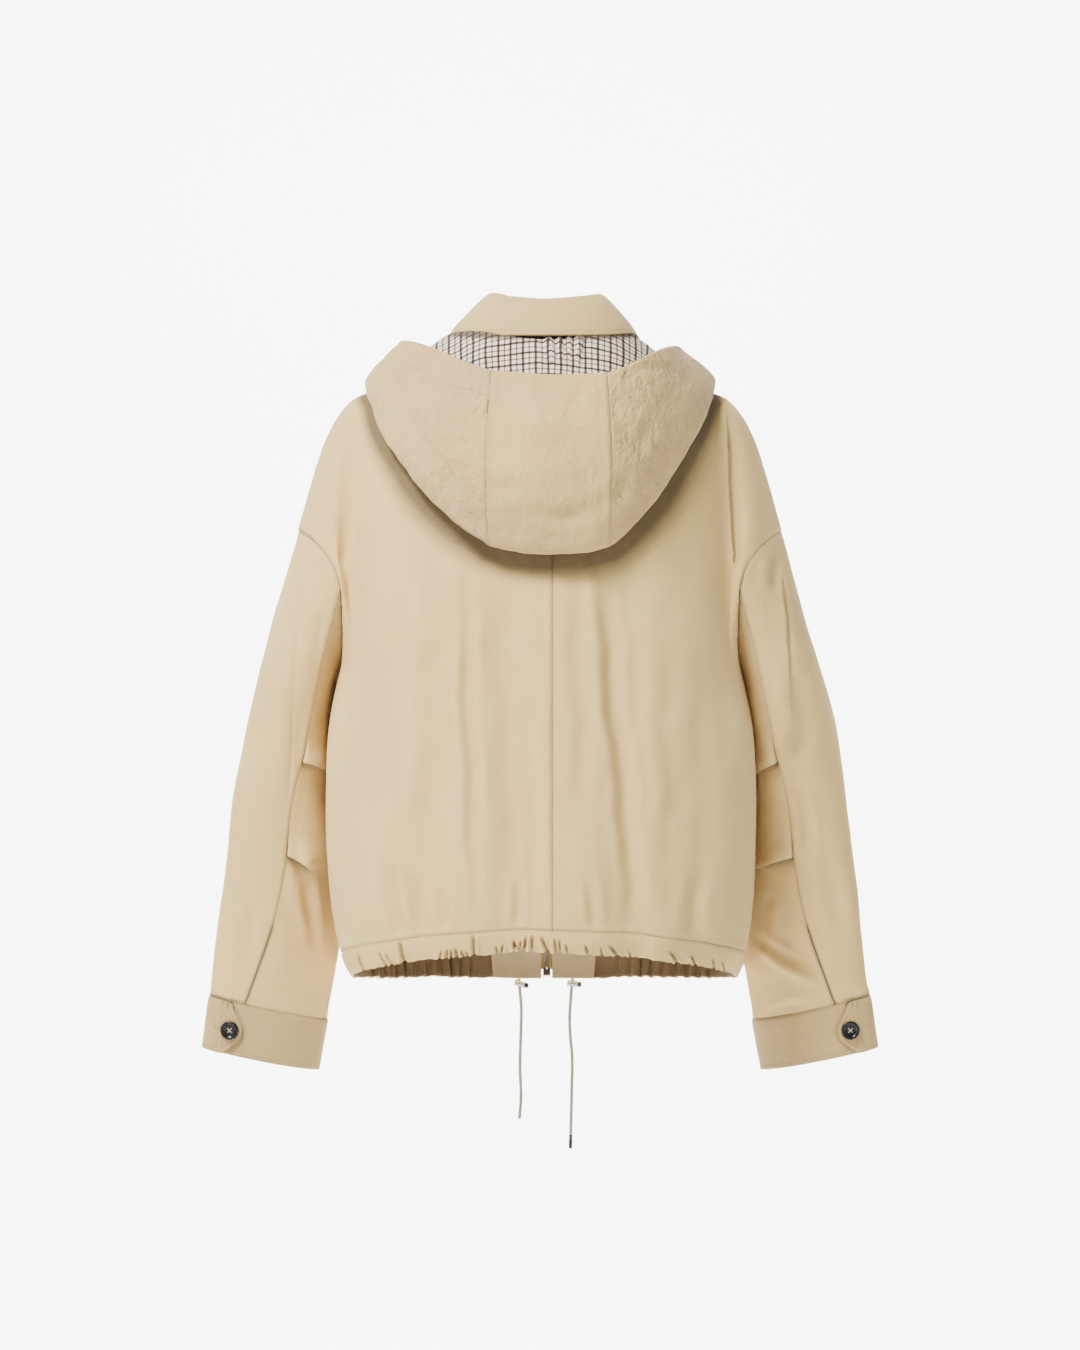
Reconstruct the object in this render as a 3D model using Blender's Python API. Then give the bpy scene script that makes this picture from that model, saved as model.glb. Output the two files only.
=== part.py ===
"""A cropped, hooded zip jacket with a shirt collar, standing open as it is worn, with no wearer.

Run it with: blender --background --python part.py

Metres, +Z up. The front faces -Y, the wearer's left is +X, and the origin is the middle of the neck, at the
height where the shoulder seams meet the collar. Every piece that is cut and sewn is one object with a thin wall.
"""

import math

import bmesh
import bpy
import numpy as np
from mathutils import Matrix, Vector
from mathutils.bvhtree import BVHTree

# ---------------------------------------------------------------- driving sizes

CLOTH = 0.0014  # shell cloth with its seam allowances
LINING = 0.0010
BAND = 0.0024  # cuffs and hem casing, two layers
COLLAR = 0.0022
SEAM_GAP = 0.0003
HALF_GAP = SEAM_GAP / 2

ARMPIT_Z = -0.300
SIDE_Y = -0.008  # the side seams lie a little in front of the middle
SECTION_POWER = 2.3  # how square the body's cross-section is
ARCH_POWER = 2.7  # how square the shoulders are, seen from the side
ARCH_PACE = 1.9  # rows above the armpit lie closer together near it
BACK_SEAM_X = -0.012
ZIP_X = -0.0068
ZIP_HALF_OPENING = 0.0055

NECK_HALF_WIDTH = 0.080
NECK_DEPTH = 0.077
NECK_MIDDLE_Y = -0.007
NECK_SHARE = 0.27  # share of the half panel that ends at the neckline
FOLD_SHARE = 0.72  # share at which the panel folds behind the arm
NECK_TURN = math.radians(66)

# The body at each height: half its width, how far it stands behind and in front of the origin, and how much wider
# its right half is than its left half, as it swings a little to the wearer's right.
TORSO = {
    "height": (-0.620, -0.590, -0.560, -0.520, -0.475, -0.420, -0.370, -0.300, -0.200),
    "half_width": (0.1735, 0.1875, 0.1985, 0.2045, 0.2070, 0.2065, 0.2040, 0.1940, 0.186),
    "swing": (0.062, 0.046, 0.031, 0.021, 0.014, 0.010, 0.004, 0.0, 0.0),
    "behind": (0.106, 0.117, 0.127, 0.134, 0.137, 0.137, 0.136, 0.133, 0.126),
    "in_front": (0.110, 0.119, 0.128, 0.133, 0.134, 0.133, 0.131, 0.127, 0.120),
}
# Lower edges, by share of the half panel from the middle to the side seam.
HEM = {
    "share": (0.0, 0.25, 0.5, 0.75, 1.0),
    "back_seam": (-0.5430, -0.5475, -0.5560, -0.5640, -0.5720),
    "back_edge": (-0.5640, -0.5695, -0.5785, -0.5870, -0.5955),
    "front_seam": (-0.5770, -0.5770, -0.5760, -0.5740, -0.5720),
    "front_edge": (-0.6010, -0.6005, -0.5995, -0.5975, -0.5955),
}
# The neckline's height by angle round the neck, from the middle of the back.
NECKLINE = {
    "angle": (0, 45, 90, 120, 150, 180),
    "height": (-0.0020, -0.0015, 0.0, -0.020, -0.052, -0.078),
}
# The top line of the shoulder, from the neck down over the shoulder point to the armhole seam.
RIDGE = {
    "share": (0.0, 0.25, 0.43, 0.58, 0.79, 1.0),
    "x": (NECK_HALF_WIDTH, 0.140, 0.1785, 0.2035, 0.2205, 0.2340),
    "y": (NECK_MIDDLE_Y, 0.000, 0.001, 0.000, -0.003, -0.005),
    "z": (0.0, -0.0235, -0.0350, -0.0655, -0.1150, -0.1635),
}
# The armhole seam, from the shoulder line down to the underarm point.
ARMHOLE_BACK = {
    "share": (0.0, 0.14, 0.29, 0.43, 0.57, 0.71, 0.86, 1.0),
    "x": (0.2340, 0.2260, 0.2125, 0.1998, 0.1915, 0.1890, 0.1893, 0.1915),
    "y": (-0.005, 0.020, 0.042, 0.054, 0.056, 0.045, 0.020, -0.008),
    "z": (-0.1635, -0.1680, -0.1785, -0.1945, -0.2140, -0.2450, -0.2795, -0.300),
}
ARMHOLE_FRONT = {
    "share": (0.0, 0.14, 0.29, 0.43, 0.57, 0.71, 0.86, 1.0),
    "x": (0.2340, 0.2265, 0.2125, 0.2005, 0.1925, 0.1890, 0.1890, 0.1915),
    "y": (-0.005, -0.032, -0.057, -0.072, -0.076, -0.065, -0.038, -0.008),
    "z": (-0.1635, -0.1690, -0.1815, -0.200, -0.224, -0.254, -0.284, -0.300),
}
# The sleeve's cross-sections, from the armhole to the cuff's edge. Each is an oval: its middle, half its width and
# half its depth, how far its outer edge turns to the back, and how far it tips up at the outer edge.
SLEEVE = {
    "length": (0.0, 0.13, 0.27, 0.43, 0.60, 0.75, 0.895, 1.0),
    "x": (0.2206, 0.2328, 0.2418, 0.2475, 0.2475, 0.2542, 0.2648, 0.2730),
    "y": (-0.010, -0.018, -0.032, -0.048, -0.061, -0.069, -0.075, -0.079),
    "z": (-0.2410, -0.3020, -0.3530, -0.4176, -0.4928, -0.5568, -0.6265, -0.6771),
    "half_width": (0.0325, 0.0390, 0.0440, 0.0520, 0.0625, 0.0643, 0.0617, 0.0603),
    "half_depth": (0.062, 0.0595, 0.0520, 0.0440, 0.0380, 0.0350, 0.0309, 0.0299),
    "turn": (0, 4, 10, 15, 18, 19, 20, 20),
    "tip": (34, 24, 16, 13, 12, 12, 11, 11),
}
CUFF_START = 0.895
# Angles round the sleeve of its two seams (0 is the outer edge, 90 the back, 180 the side next to the body).
SLEEVE_SEAMS = {
    "length": (0.0, 0.13, 0.27, 0.43, 0.60, 0.75, 0.895, 1.0),
    "elbow": (128, 122, 108, 88, 80, 73, 58, 52),
    "underarm": (180, 180, 176, 168, 160, 154, 148, 148),
}
# Rows of the sleeve, as shares of its length. Each tuck has two rows close together.
TUCKS = {"length": (0.320, 0.560), "height": (0.0050, 0.0055), "run": (0.10, 0.11)}
TUCK_STEP = 0.010
SLIT_START = 0.728
SLIT_GAPE = 0.0012

# Long soft folds: where each starts and ends on the panel, how wide it is and how far it goes in (or out).
BACK_FOLDS = {
    "top_x": (0.106, 0.072, 0.038, -0.074, -0.150, 0.152),
    "top_z": (-0.120, -0.170, -0.170, -0.170, -0.330, -0.330),
    "low_x": (0.110, 0.062, 0.022, -0.090, -0.146, 0.150),
    "low_z": (-0.530, -0.545, -0.545, -0.550, -0.560, -0.560),
    "width": (0.018, 0.016, 0.021, 0.017, 0.018, 0.018),
    "depth": (0.0060, 0.0050, 0.0070, 0.0065, 0.0040, 0.0040),
}
FRONT_FOLDS = {
    "top_x": (0.120, 0.066, -0.078, -0.130),
    "top_z": (-0.200, -0.260, -0.180, -0.260),
    "low_x": (0.108, 0.058, -0.088, -0.128),
    "low_z": (-0.570, -0.570, -0.570, -0.570),
    "width": (0.020, 0.018, 0.019, 0.018),
    "depth": (0.0055, 0.0040, 0.0060, 0.0045),
}

# The hood lies open on the back. For each place round the neck: the top of its neck edge, the lowest point of the
# fold that it hangs down to, its free front edge, how round its fold is and how far its outer side swells.
HOOD = {
    "place": (0.0, 0.09, 0.18, 0.30, 0.43, 0.56, 0.70, 0.85, 1.0),
    "neck_x": (0.000, 0.018, 0.036, 0.056, 0.073, 0.085, 0.091, 0.080, 0.060),
    "neck_y": (0.0800, 0.0785, 0.0740, 0.0625, 0.0435, 0.0210, -0.0080, -0.0480, -0.0740),
    "neck_z": (0.0105, 0.0125, 0.0160, 0.0205, 0.0220, 0.0200, 0.0130, -0.0110, -0.0380),
    "fold_x": (0.000, 0.030, 0.055, 0.0835, 0.1105, 0.1370, 0.166, 0.140, 0.092),
    "fold_y": (0.138, 0.137, 0.133, 0.124, 0.110, 0.084, 0.016, -0.062, -0.096),
    "fold_z": (-0.1915, -0.1905, -0.1835, -0.1625, -0.1310, -0.0915, -0.0350, -0.0530, -0.0860),
    "rim_x": (0.000, 0.028, 0.0545, 0.080, 0.104, 0.1245, 0.138, 0.113, 0.079),
    "rim_y": (0.158, 0.157, 0.152, 0.140, 0.118, 0.080, 0.012, -0.060, -0.091),
    "rim_z": (-0.0215, -0.0202, -0.0180, -0.0085, 0.0040, 0.0125, 0.0120, -0.0180, -0.0530),
    "round": (0.0110, 0.0110, 0.0110, 0.0105, 0.0100, 0.0095, 0.0090, 0.0075, 0.0060),
    "swell": (0.0200, 0.0200, 0.0190, 0.0160, 0.0120, 0.0080, 0.0030, 0.0015, 0.0005),
}
HOOD_LEAN, HOOD_LEAN_REACH = -0.0105, 0.65  # the middle of the hood hangs a little to the wearer's right
HOOD_TILT = 0.020  # its front edge stands a little higher on the wearer's left
HOOD_SEAM = 0.180  # place of the seams on each side of the middle panel
HOOD_PANEL_STEPS = {"middle": 4, "side": 11}
HOOD_GAP = 0.0060  # how far its underside lies off the back
HOOD_SEAT = 0.0015
HOOD_STAND = 0.012  # how high it stands up round the neck before it falls back
HOOD_ROWS = (0.0, 0.5, 1.0, 1.5, 2.0, 3.0, 4.0, 5.0, 5.5, 6.0, 6.5, 7.0, 8.0, 9.0, 10.0)

COLLAR_LEAN = -0.0055
COLLAR_TOP = {
    "angle": (0, 45, 75, 90, 120, 150, 180),
    "height": (0.0520, 0.0550, 0.0570, 0.0540, 0.0330, 0.0000, -0.0300),
}
COLLAR_TOP_HALF_WIDTH, COLLAR_TOP_DEPTH, COLLAR_TOP_Y = 0.0545, 0.056, -0.004
ROLL_RADIUS = 0.0036  # outer radius of the collar's turned edge
COLLAR_EDGE = {
    "angle": (0, 45, 75, 95, 120, 145, 168),
    "x": (0.000, 0.068, 0.0915, 0.0955, 0.0920, 0.0790, 0.0500),
    "y": (0.0900, 0.0640, 0.0200, -0.0160, -0.0660, -0.1060, -0.1270),
    "height": (0.0195, 0.0210, 0.0255, 0.0210, -0.0040, -0.0480, -0.1080),
}
FALL_SHARES = (0.10, 0.35, 0.68, 1.0)

# The zip: a separating one, closed up to its slider below the collar.
ZIP_RECESS = 0.0002
SLIDER_HEIGHT = -0.098
SLIDER = {"wide": 0.0086, "long": 0.0100, "thick": 0.0024, "lift": 0.0011}
BAIL = {"hole": 0.0014, "bar": 0.0010, "half_width": 0.0009}
PULL = {"half_bar": 0.0007, "inner": 0.0019, "outer": 0.0032, "start": 0.0042, "long": 0.0260, "thick": 0.0012}
ZIP_BOX = {"wide": 0.0076, "long": 0.0075, "thick": 0.0032}

# Drawcord: where each end hangs, from the casing down.
CORD_RADIUS = 0.00165
CORDS = {
    "left": {
        "x": (0.0215, 0.0214, 0.0212, 0.0200, 0.0184, 0.0187, 0.0197, 0.0187, 0.0203),
        "out": (0.0032, 0.0041, 0.0047, 0.0047, 0.0040, 0.0034, 0.0038, 0.0042, 0.0040),
        "z": (-0.5905, -0.5917, -0.5970, -0.6120, -0.6310, -0.6500, -0.6890, -0.7180, -0.7404),
    },
    "right": {
        "x": (-0.0330, -0.0330, -0.0329, -0.0312, -0.0292, -0.0299, -0.0318, -0.0313, -0.0303),
        "out": (0.0032, 0.0041, 0.0047, 0.0048, 0.0042, 0.0038, 0.0036, 0.0041, 0.0040),
        "z": (-0.5895, -0.5907, -0.5960, -0.6120, -0.6400, -0.6590, -0.6800, -0.7110, -0.7554),
    },
}
CORD_TIP = {"radius": 0.0019, "long": 0.0140}
LOCK = {"radius": 0.0035, "long": 0.0100, "head_radius": 0.0027, "head_long": 0.0042, "drop": 0.0062}
LOCK_TILT = {"left": math.radians(14), "right": math.radians(6)}

# ---------------------------------------------------------------- reading the tables


def between(keys, values, key):
    """The value at key on a smooth curve through a table's values (cubic, with slopes from the neighbours)."""
    if key <= keys[0]:
        return values[0]
    if key >= keys[-1]:
        return values[-1]
    i = next(n for n in range(len(keys) - 1) if key <= keys[n + 1])
    slopes = []
    for n in (i, i + 1):
        low, high = max(n - 1, 0), min(n + 1, len(keys) - 1)
        slopes.append((values[high] - values[low]) / (keys[high] - keys[low]))
    span = keys[i + 1] - keys[i]
    t = (key - keys[i]) / span
    start = (2 * t**3 - 3 * t**2 + 1) * values[i] + (t**3 - 2 * t**2 + t) * span * slopes[0]
    end = (3 * t**2 - 2 * t**3) * values[i + 1] + (t**3 - t**2) * span * slopes[1]
    return start + end


def read(table, key, *columns):
    """Columns of a table at key, which is looked up in the table's first column."""
    keys = next(iter(table.values()))
    found = [between(keys, table[name], key) for name in columns]
    return found[0] if len(found) == 1 else np.array(found)


def ease(t):
    t = min(max(t, 0.0), 1.0)
    return t * t * (3 - 2 * t)


def unit(v):
    return v / max(np.linalg.norm(v), 1e-12)


# ---------------------------------------------------------------- the body's surface


def neckline(angle):
    """A point of the neck seam. Angle 0 is the middle of the back and 180 the middle of the front."""
    a = math.radians(angle)
    height = read(NECKLINE, abs(angle), "height")
    return np.array([NECK_HALF_WIDTH * math.sin(a), NECK_MIDDLE_Y + NECK_DEPTH * math.cos(a), height])


def torso_point(side, share, height):
    """A point of the body below the arms. side is 1 behind and -1 in front; share runs from the middle to the side."""
    half_width = read(TORSO, height, "half_width")
    reach = read(TORSO, height, "behind" if side > 0 else "in_front")
    angle = share * math.pi / 2
    across = math.sin(angle) ** (2 / SECTION_POWER)
    along = max(math.cos(angle), 0.0) ** (2 / SECTION_POWER)
    pulled_in = (read(TORSO, ARMPIT_Z, "half_width") - ARMHOLE_BACK["x"][-1]) * ease((share - 0.6) / 0.4)
    pulled_in *= ease((height - ARMPIT_Z + 0.07) / 0.07)
    return np.array([half_width * across - pulled_in, SIDE_Y + (side * reach - SIDE_Y) * along, height])


def half_width_at(x, height):
    """Half the body's width at a height, on the side where x is. The two sides blend into each other."""
    left_share = min(max(0.5 + x / 0.38, 0.0), 1.0)
    return read(TORSO, height, "half_width") * (1 + read(TORSO, height, "swing") * (0.5 - left_share))


def top_line(side, share):
    """Where a column of the half panel ends: on the neckline, or on the shoulder line."""
    if share <= NECK_SHARE:
        angle = 90 * share / NECK_SHARE
        return neckline(angle if side > 0 else 180 - angle)
    along = ((share - NECK_SHARE) / (1 - NECK_SHARE)) ** 1.9
    return read(RIDGE, along, "x", "y", "z")


def arched_column(side, share, rise):
    """A column that rises from armpit level and rounds over the shoulder."""
    base = torso_point(side, share, ARMPIT_Z)
    top = top_line(side, share)
    turn = NECK_TURN + (math.pi / 2 - NECK_TURN) * ease(share / NECK_SHARE)
    power = 2 / ARCH_POWER
    angle = rise**ARCH_PACE * turn
    out = (1 - max(math.cos(angle), 0.0) ** power) / (1 - max(math.cos(turn), 0.0) ** power)
    up = (math.sin(angle) / math.sin(turn)) ** power
    return base + (top - base) * np.array([out, out, up])


def armhole(side, share):
    """A point of the armhole seam, from the shoulder line (0) to the underarm point (1)."""
    return read(ARMHOLE_BACK if side > 0 else ARMHOLE_FRONT, share, "x", "y", "z")


def arm_patch(side, share, rise):
    """The part of the panel that lies on the arm, between the fold behind the arm and the armhole seam."""
    t = (share - FOLD_SHARE) / (1 - FOLD_SHARE)

    def across(a, b):
        return a + (b - a) * t

    columns = across(arched_column(side, FOLD_SHARE, rise), armhole(side, 1 - rise))
    top = top_line(side, share) - across(top_line(side, FOLD_SHARE), armhole(side, 0.0))
    low = torso_point(side, share, ARMPIT_Z) - across(torso_point(side, FOLD_SHARE, ARMPIT_Z), armhole(side, 1.0))
    lift = rise**ARCH_PACE
    return columns + lift * top + (1 - lift) * low


def plain_body(side, share, level):
    """The body with no folds. level is 0 at the casing seam, 1 at armpit level and 2 at the top."""
    s = abs(share)
    if level <= 1:
        seam = read(HEM, s, "back_seam" if side > 0 else "front_seam")
        point = torso_point(side, s, seam + (ARMPIT_Z - seam) * level)
        point[0] *= 1 - math.copysign(0.5, share) * read(TORSO, point[2], "swing")
    elif s <= FOLD_SHARE:
        point = arched_column(side, s, level - 1)
    else:
        point = arm_patch(side, s, level - 1)
    return point * np.array([math.copysign(1, share), 1, 1])


def surface_normal(surface, a, b, step=1e-3, limits=(-1e9, 1e9)):
    """The direction square to surface(a, b), from points close by, with b kept inside its limits."""
    across = surface(a + step, b) - surface(a - step, b)
    along = surface(a, min(b + step, limits[1])) - surface(a, max(b - step, limits[0]))
    return unit(np.cross(along, across))


def fold_relief(folds, x, z):
    """How far the long soft folds move the cloth, in metres: troughs in, and a low ridge on each side."""
    moved = 0.0
    for i in range(len(folds["top_x"])):
        along = (z - folds["low_z"][i]) / (folds["top_z"][i] - folds["low_z"][i])
        centre = folds["low_x"][i] + (folds["top_x"][i] - folds["low_x"][i]) * along
        d = (x - centre) / folds["width"][i]
        strength = ease((1.25 - along) / 0.5) * folds["depth"][i]
        moved += strength * (0.45 * math.exp(-(((abs(d) - 1.9) / 1.1) ** 2)) - math.exp(-d * d))
    return moved


ARM_CREASE = {"middle": 0.22, "width": 0.20, "depth": 0.0075}


def body_relief(side, point, share, level):
    relief = fold_relief(BACK_FOLDS if side > 0 else FRONT_FOLDS, point[0], point[2])
    relief *= (1 - ease((abs(share) - 0.78) / 0.2)) * (1 - ease((level - 1.45) / 0.4))
    if level > 1 and abs(share) > FOLD_SHARE - 0.12:
        # The crease that runs from the shoulder down behind the arm.
        t = (abs(share) - FOLD_SHARE) / (1 - FOLD_SHARE)
        rise = level - 1
        depth = ARM_CREASE["depth"] * ease((0.97 - rise) / 0.5) * ease(rise / 0.35)
        if side < 0:
            depth *= 0.6
        d = (t - ARM_CREASE["middle"]) / ARM_CREASE["width"]
        relief -= depth * math.exp(-d * d)
    return relief


def body(side, share, level):
    """A point of the finished body surface."""
    point = plain_body(side, share, level)
    inner = min(max(share, -0.985), 0.985)

    def near(a, b):
        return plain_body(side, a, b)

    out = surface_normal(near, inner, level, limits=(0, 2)) * side
    return point + out * body_relief(side, point, share, level)


def body_out(side, share, level):
    """The outward direction of the body at a point, not counting its folds."""
    inner = min(max(share, -0.993), 0.993)

    def near(a, b):
        return plain_body(side, a, b)

    return surface_normal(near, inner, level, step=6e-3, limits=(0, 2)) * side


# ---------------------------------------------------------------- the sleeve's surface

BACK_COLUMNS = 10  # columns of the sleeve that meet the back's armhole edge
FRONT_COLUMNS = 8
COLUMNS = BACK_COLUMNS + FRONT_COLUMNS
ELBOW_COLUMN = 6  # the elbow seam runs down this column
FIRST_RING = 0.13  # share of the length at which the sleeve is a plain oval


def sleeve_oval(length, angle):
    """A point of the sleeve's oval at a share of its length; angle is in degrees."""
    x, y, z, half_width, half_depth, turn, tip = read(
        SLEEVE, length, "x", "y", "z", "half_width", "half_depth", "turn", "tip"
    )
    turn, tip, angle = math.radians(turn), math.radians(tip), math.radians(angle)
    outward = unit(np.array([math.cos(turn), math.sin(turn), math.tan(tip)]))
    axis = unit(read(SLEEVE, min(length + 0.05, 1.0), "x", "y", "z") - read(SLEEVE, length - 0.05, "x", "y", "z"))
    backward = unit(np.cross(outward, axis))
    return np.array([x, y, z]) + outward * half_width * math.cos(angle) + backward * half_depth * math.sin(angle)


def sleeve_angle(column, length):
    """The angle round the sleeve of a column, which follows the two seams."""
    elbow = read(SLEEVE_SEAMS, length, "elbow")
    underarm = read(SLEEVE_SEAMS, length, "underarm")
    if column <= ELBOW_COLUMN:
        return elbow * column / ELBOW_COLUMN
    if column <= BACK_COLUMNS:
        return elbow + (underarm - elbow) * (column - ELBOW_COLUMN) / (BACK_COLUMNS - ELBOW_COLUMN)
    return underarm + (360 - underarm) * (column - BACK_COLUMNS) / FRONT_COLUMNS


def armhole_loop(column):
    """The armhole seam as the sleeve's first ring: from the shoulder line round the back, then up the front."""
    if column <= BACK_COLUMNS:
        return armhole(1, column / BACK_COLUMNS)
    return armhole(-1, (COLUMNS - column) / FRONT_COLUMNS)


def plain_sleeve(column, length):
    """The left sleeve with no tucks: the armhole seam, then ovals, joined by smooth lines down the arm."""
    column %= COLUMNS
    if length >= FIRST_RING:
        return sleeve_oval(length, sleeve_angle(column, length))
    start = armhole_loop(column)
    end = sleeve_oval(FIRST_RING, sleeve_angle(column, FIRST_RING))
    after = sleeve_oval(FIRST_RING + 0.02, sleeve_angle(column, FIRST_RING + 0.02))
    leave = (after - end) / 0.02 * FIRST_RING
    t = length / FIRST_RING
    return (
        (2 * t**3 - 3 * t**2 + 1) * start
        + (t**3 - 2 * t**2 + t) * (end - start)
        + (3 * t**2 - 2 * t**3) * end
        + (t**3 - t**2) * leave
    )


SLEEVE_CREASE = {"column": 3.7, "width": 0.9, "depth": 0.0042, "end": 0.42}


def sleeve_relief(column, length):
    """Tucks on the inner side of the elbow seam, and the long crease above it."""
    moved = 0.0
    inward = (column - ELBOW_COLUMN) / (BACK_COLUMNS - ELBOW_COLUMN)
    if 0 < inward < 1:
        spread = ease(inward / 0.25) * (1 - ease((inward - 0.4) / 0.6))
        for place, height, run in zip(TUCKS["length"], TUCKS["height"], TUCKS["run"]):
            if place - run < length < place + 1e-6:
                moved += height * spread * ease((length - place + run) / run)
    if 0 < column < ELBOW_COLUMN:
        d = (column - SLEEVE_CREASE["column"]) / SLEEVE_CREASE["width"]
        along = ease(length / 0.06) * ease((SLEEVE_CREASE["end"] - length) / 0.15)
        moved -= SLEEVE_CREASE["depth"] * math.exp(-d * d) * along
    return moved


# ---------------------------------------------------------------- making walls and objects


def clear_scene():
    for thing in list(bpy.data.objects):
        bpy.data.objects.remove(thing)


def material(name, colour, roughness, metallic=0.0):
    made = bpy.data.materials.new(name)
    made.use_nodes = True
    shader = made.node_tree.nodes["Principled BSDF"]
    shader.inputs["Base Color"].default_value = (*colour, 1)
    shader.inputs["Roughness"].default_value = roughness
    shader.inputs["Metallic"].default_value = metallic
    return made


def add_object(name, data, finish):
    data.materials.append(finish)
    made = bpy.data.objects.new(name, data)
    bpy.context.scene.collection.objects.link(made)
    if isinstance(data, bpy.types.Mesh):
        data.shade_smooth()
        data.set_sharp_from_angle(angle=math.radians(50))
    return made


def two_triangles(shape, a, b, c, d):
    """A four-cornered face, always cut from a to c, so that both sides of a wall bend alike."""
    shape.faces.new((a, b, c))
    shape.faces.new((a, c, d))


def halves(ring, turned):
    """A ring of four as two triangles. turned cuts it the other way, as in a mirror, for the wearer's right side."""
    a, b, c, d = ring
    return ((a, b, d), (b, c, d)) if turned else ((a, b, c), (a, c, d))


def wall(name, outer, inner, finish):
    """A thin solid between two grids of points, given as rows."""
    shape = bmesh.new()
    out = [[shape.verts.new(p) for p in row] for row in outer]
    back = [[shape.verts.new(p) for p in row] for row in inner]
    last_row, last = len(out) - 1, len(out[0]) - 1
    for r in range(last_row):
        for c in range(last):
            over, under = ((g[r][c], g[r][c + 1], g[r + 1][c + 1], g[r + 1][c]) for g in (out, back))
            turned = sum(v.co.x for v in over) < 0
            for triangle in halves(over, turned):
                shape.faces.new(triangle)
            for triangle in halves(under, turned):
                shape.faces.new(triangle[::-1])
        two_triangles(shape, out[r][0], out[r + 1][0], back[r + 1][0], back[r][0])
        two_triangles(shape, out[r + 1][last], out[r][last], back[r][last], back[r + 1][last])
    for c in range(last):
        two_triangles(shape, out[0][c + 1], out[0][c], back[0][c], back[0][c + 1])
        two_triangles(shape, out[last_row][c], out[last_row][c + 1], back[last_row][c + 1], back[last_row][c])
    bmesh.ops.recalc_face_normals(shape, faces=shape.faces)
    mesh = bpy.data.meshes.new(name)
    shape.to_mesh(mesh)
    shape.free()
    return add_object(name, mesh, finish)


def grid_outs(rows, closed=False):
    """Directions square to a grid of points. closed joins each row's end to its start."""
    last = len(rows[0]) - 1
    outs = []
    for r in range(len(rows)):
        above, below = rows[min(r + 1, len(rows) - 1)], rows[max(r - 1, 0)]
        line = []
        for c in range(last + 1):
            before = (c - 1) % (last + 1) if closed else max(c - 1, 0)
            after = (c + 1) % (last + 1) if closed else min(c + 1, last)
            line.append(unit(np.cross(above[c] - below[c], rows[r][after] - rows[r][before])))
        outs.append(line)
    return outs


def softened(outs, passes):
    """The directions inside a grid, each turned towards its neighbours'."""
    for _ in range(passes):
        before = [list(line) for line in outs]
        for r in range(1, len(outs) - 1):
            for c in range(1, len(outs[0]) - 1):
                around = before[r - 1][c] + before[r + 1][c] + before[r][c - 1] + before[r][c + 1]
                outs[r][c] = unit(before[r][c] * 2 + around)
    return outs


def pull_back(rows, edges, gap=HALF_GAP):
    """Moves the named edges of a grid ("first_row", "last_row", "first_column", "last_column") in by gap."""
    grid = [[np.array(p, float) for p in row] for row in rows]
    for row in grid:
        if "first_column" in edges:
            row[0] = row[0] + unit(row[1] - row[0]) * gap
        if "last_column" in edges:
            row[-1] = row[-1] + unit(row[-2] - row[-1]) * gap
    for c in range(len(grid[0])):
        if "first_row" in edges:
            grid[0][c] = grid[0][c] + unit(grid[1][c] - grid[0][c]) * gap
        if "last_row" in edges:
            grid[-1][c] = grid[-1][c] + unit(grid[-2][c] - grid[-1][c]) * gap
    return grid


ALL_EDGES = ("first_row", "last_row", "first_column", "last_column")


def moved_in(rows, outs, depth):
    return [[p - n * depth for p, n in zip(row, line)] for row, line in zip(rows, outs)]


def mirrored(rows):
    """The same grid on the other side of the jacket, with its columns turned round."""
    flip = np.array([-1, 1, 1])
    return [[p * flip for p in reversed(row)] for row in rows]


def surface_tree(*grids):
    """The outer surfaces of some grids, each with the side it faces, to keep other pieces clear of."""
    corners, faces = [], []
    for rows, facing in grids:
        start, wide = len(corners), len(rows[0])
        corners += [tuple(p) for row in rows for p in row]
        for r in range(len(rows) - 1):
            for c in range(wide - 1):
                a, b = start + r * wide + c, start + (r + 1) * wide + c
                ring = (a, a + 1, b + 1, b)
                for triangle in halves(ring, sum(corners[i][0] for i in ring) < 0):
                    faces.append(triangle[::-1] if facing > 0 else triangle)
    return BVHTree.FromPolygons(corners, faces)


def kept_clear(point, tree, gap, reach=0.06):
    """The point, moved straight off the surface if it lies closer than gap or behind it."""
    near, normal, _, distance = tree.find_nearest(Vector(point))
    signed = distance if (Vector(point) - near).dot(normal) > 0 else -distance
    if signed >= gap or distance > reach:
        return np.array(point)
    return np.array(near + normal * gap)


def seated(point, tree, gap):
    """The point straight below or above on the surface, lifted off by gap."""
    near, normal, _, _ = tree.ray_cast(Vector(point) + Vector((0, 0, 0.05)), Vector((0, 0, -1)))
    return np.array(near + normal * gap)


def cleared(rows, tree, gap, first=0):
    """The grid, moved off the surface wherever the middle of a face or an edge still lies closer than gap."""
    corners = ((0, 0), (0, 1), (1, 1), (1, 0))
    for _ in range(4):
        for r in range(first, len(rows) - 1):
            for c in range(len(rows[0]) - 1):
                for group in (corners, corners[:2], corners[1:3], corners[::2], corners[1::2]):
                    middle = sum(rows[r + i][c + j] for i, j in group) / len(group)
                    moved = kept_clear(middle, tree, gap) - middle
                    for i, j in group:
                        rows[r + i][c + j] = rows[r + i][c + j] + moved
    return rows


# ---------------------------------------------------------------- panels of the body

LOWER_LEVELS = [0, 0.07, 0.22, 0.40, 0.60, 0.80, 1.0]
ARM_COLUMN_SHARES = [FOLD_SHARE + (1 - FOLD_SHARE) * t for t in (0.0, 0.11, 0.22, 0.40, 0.68, 1.0)]
NECK_STEPS = 4  # columns that end at the neckline
SHOULDER_STEPS = 6
FACING_STEPS = 2  # columns that the facing covers


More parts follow.
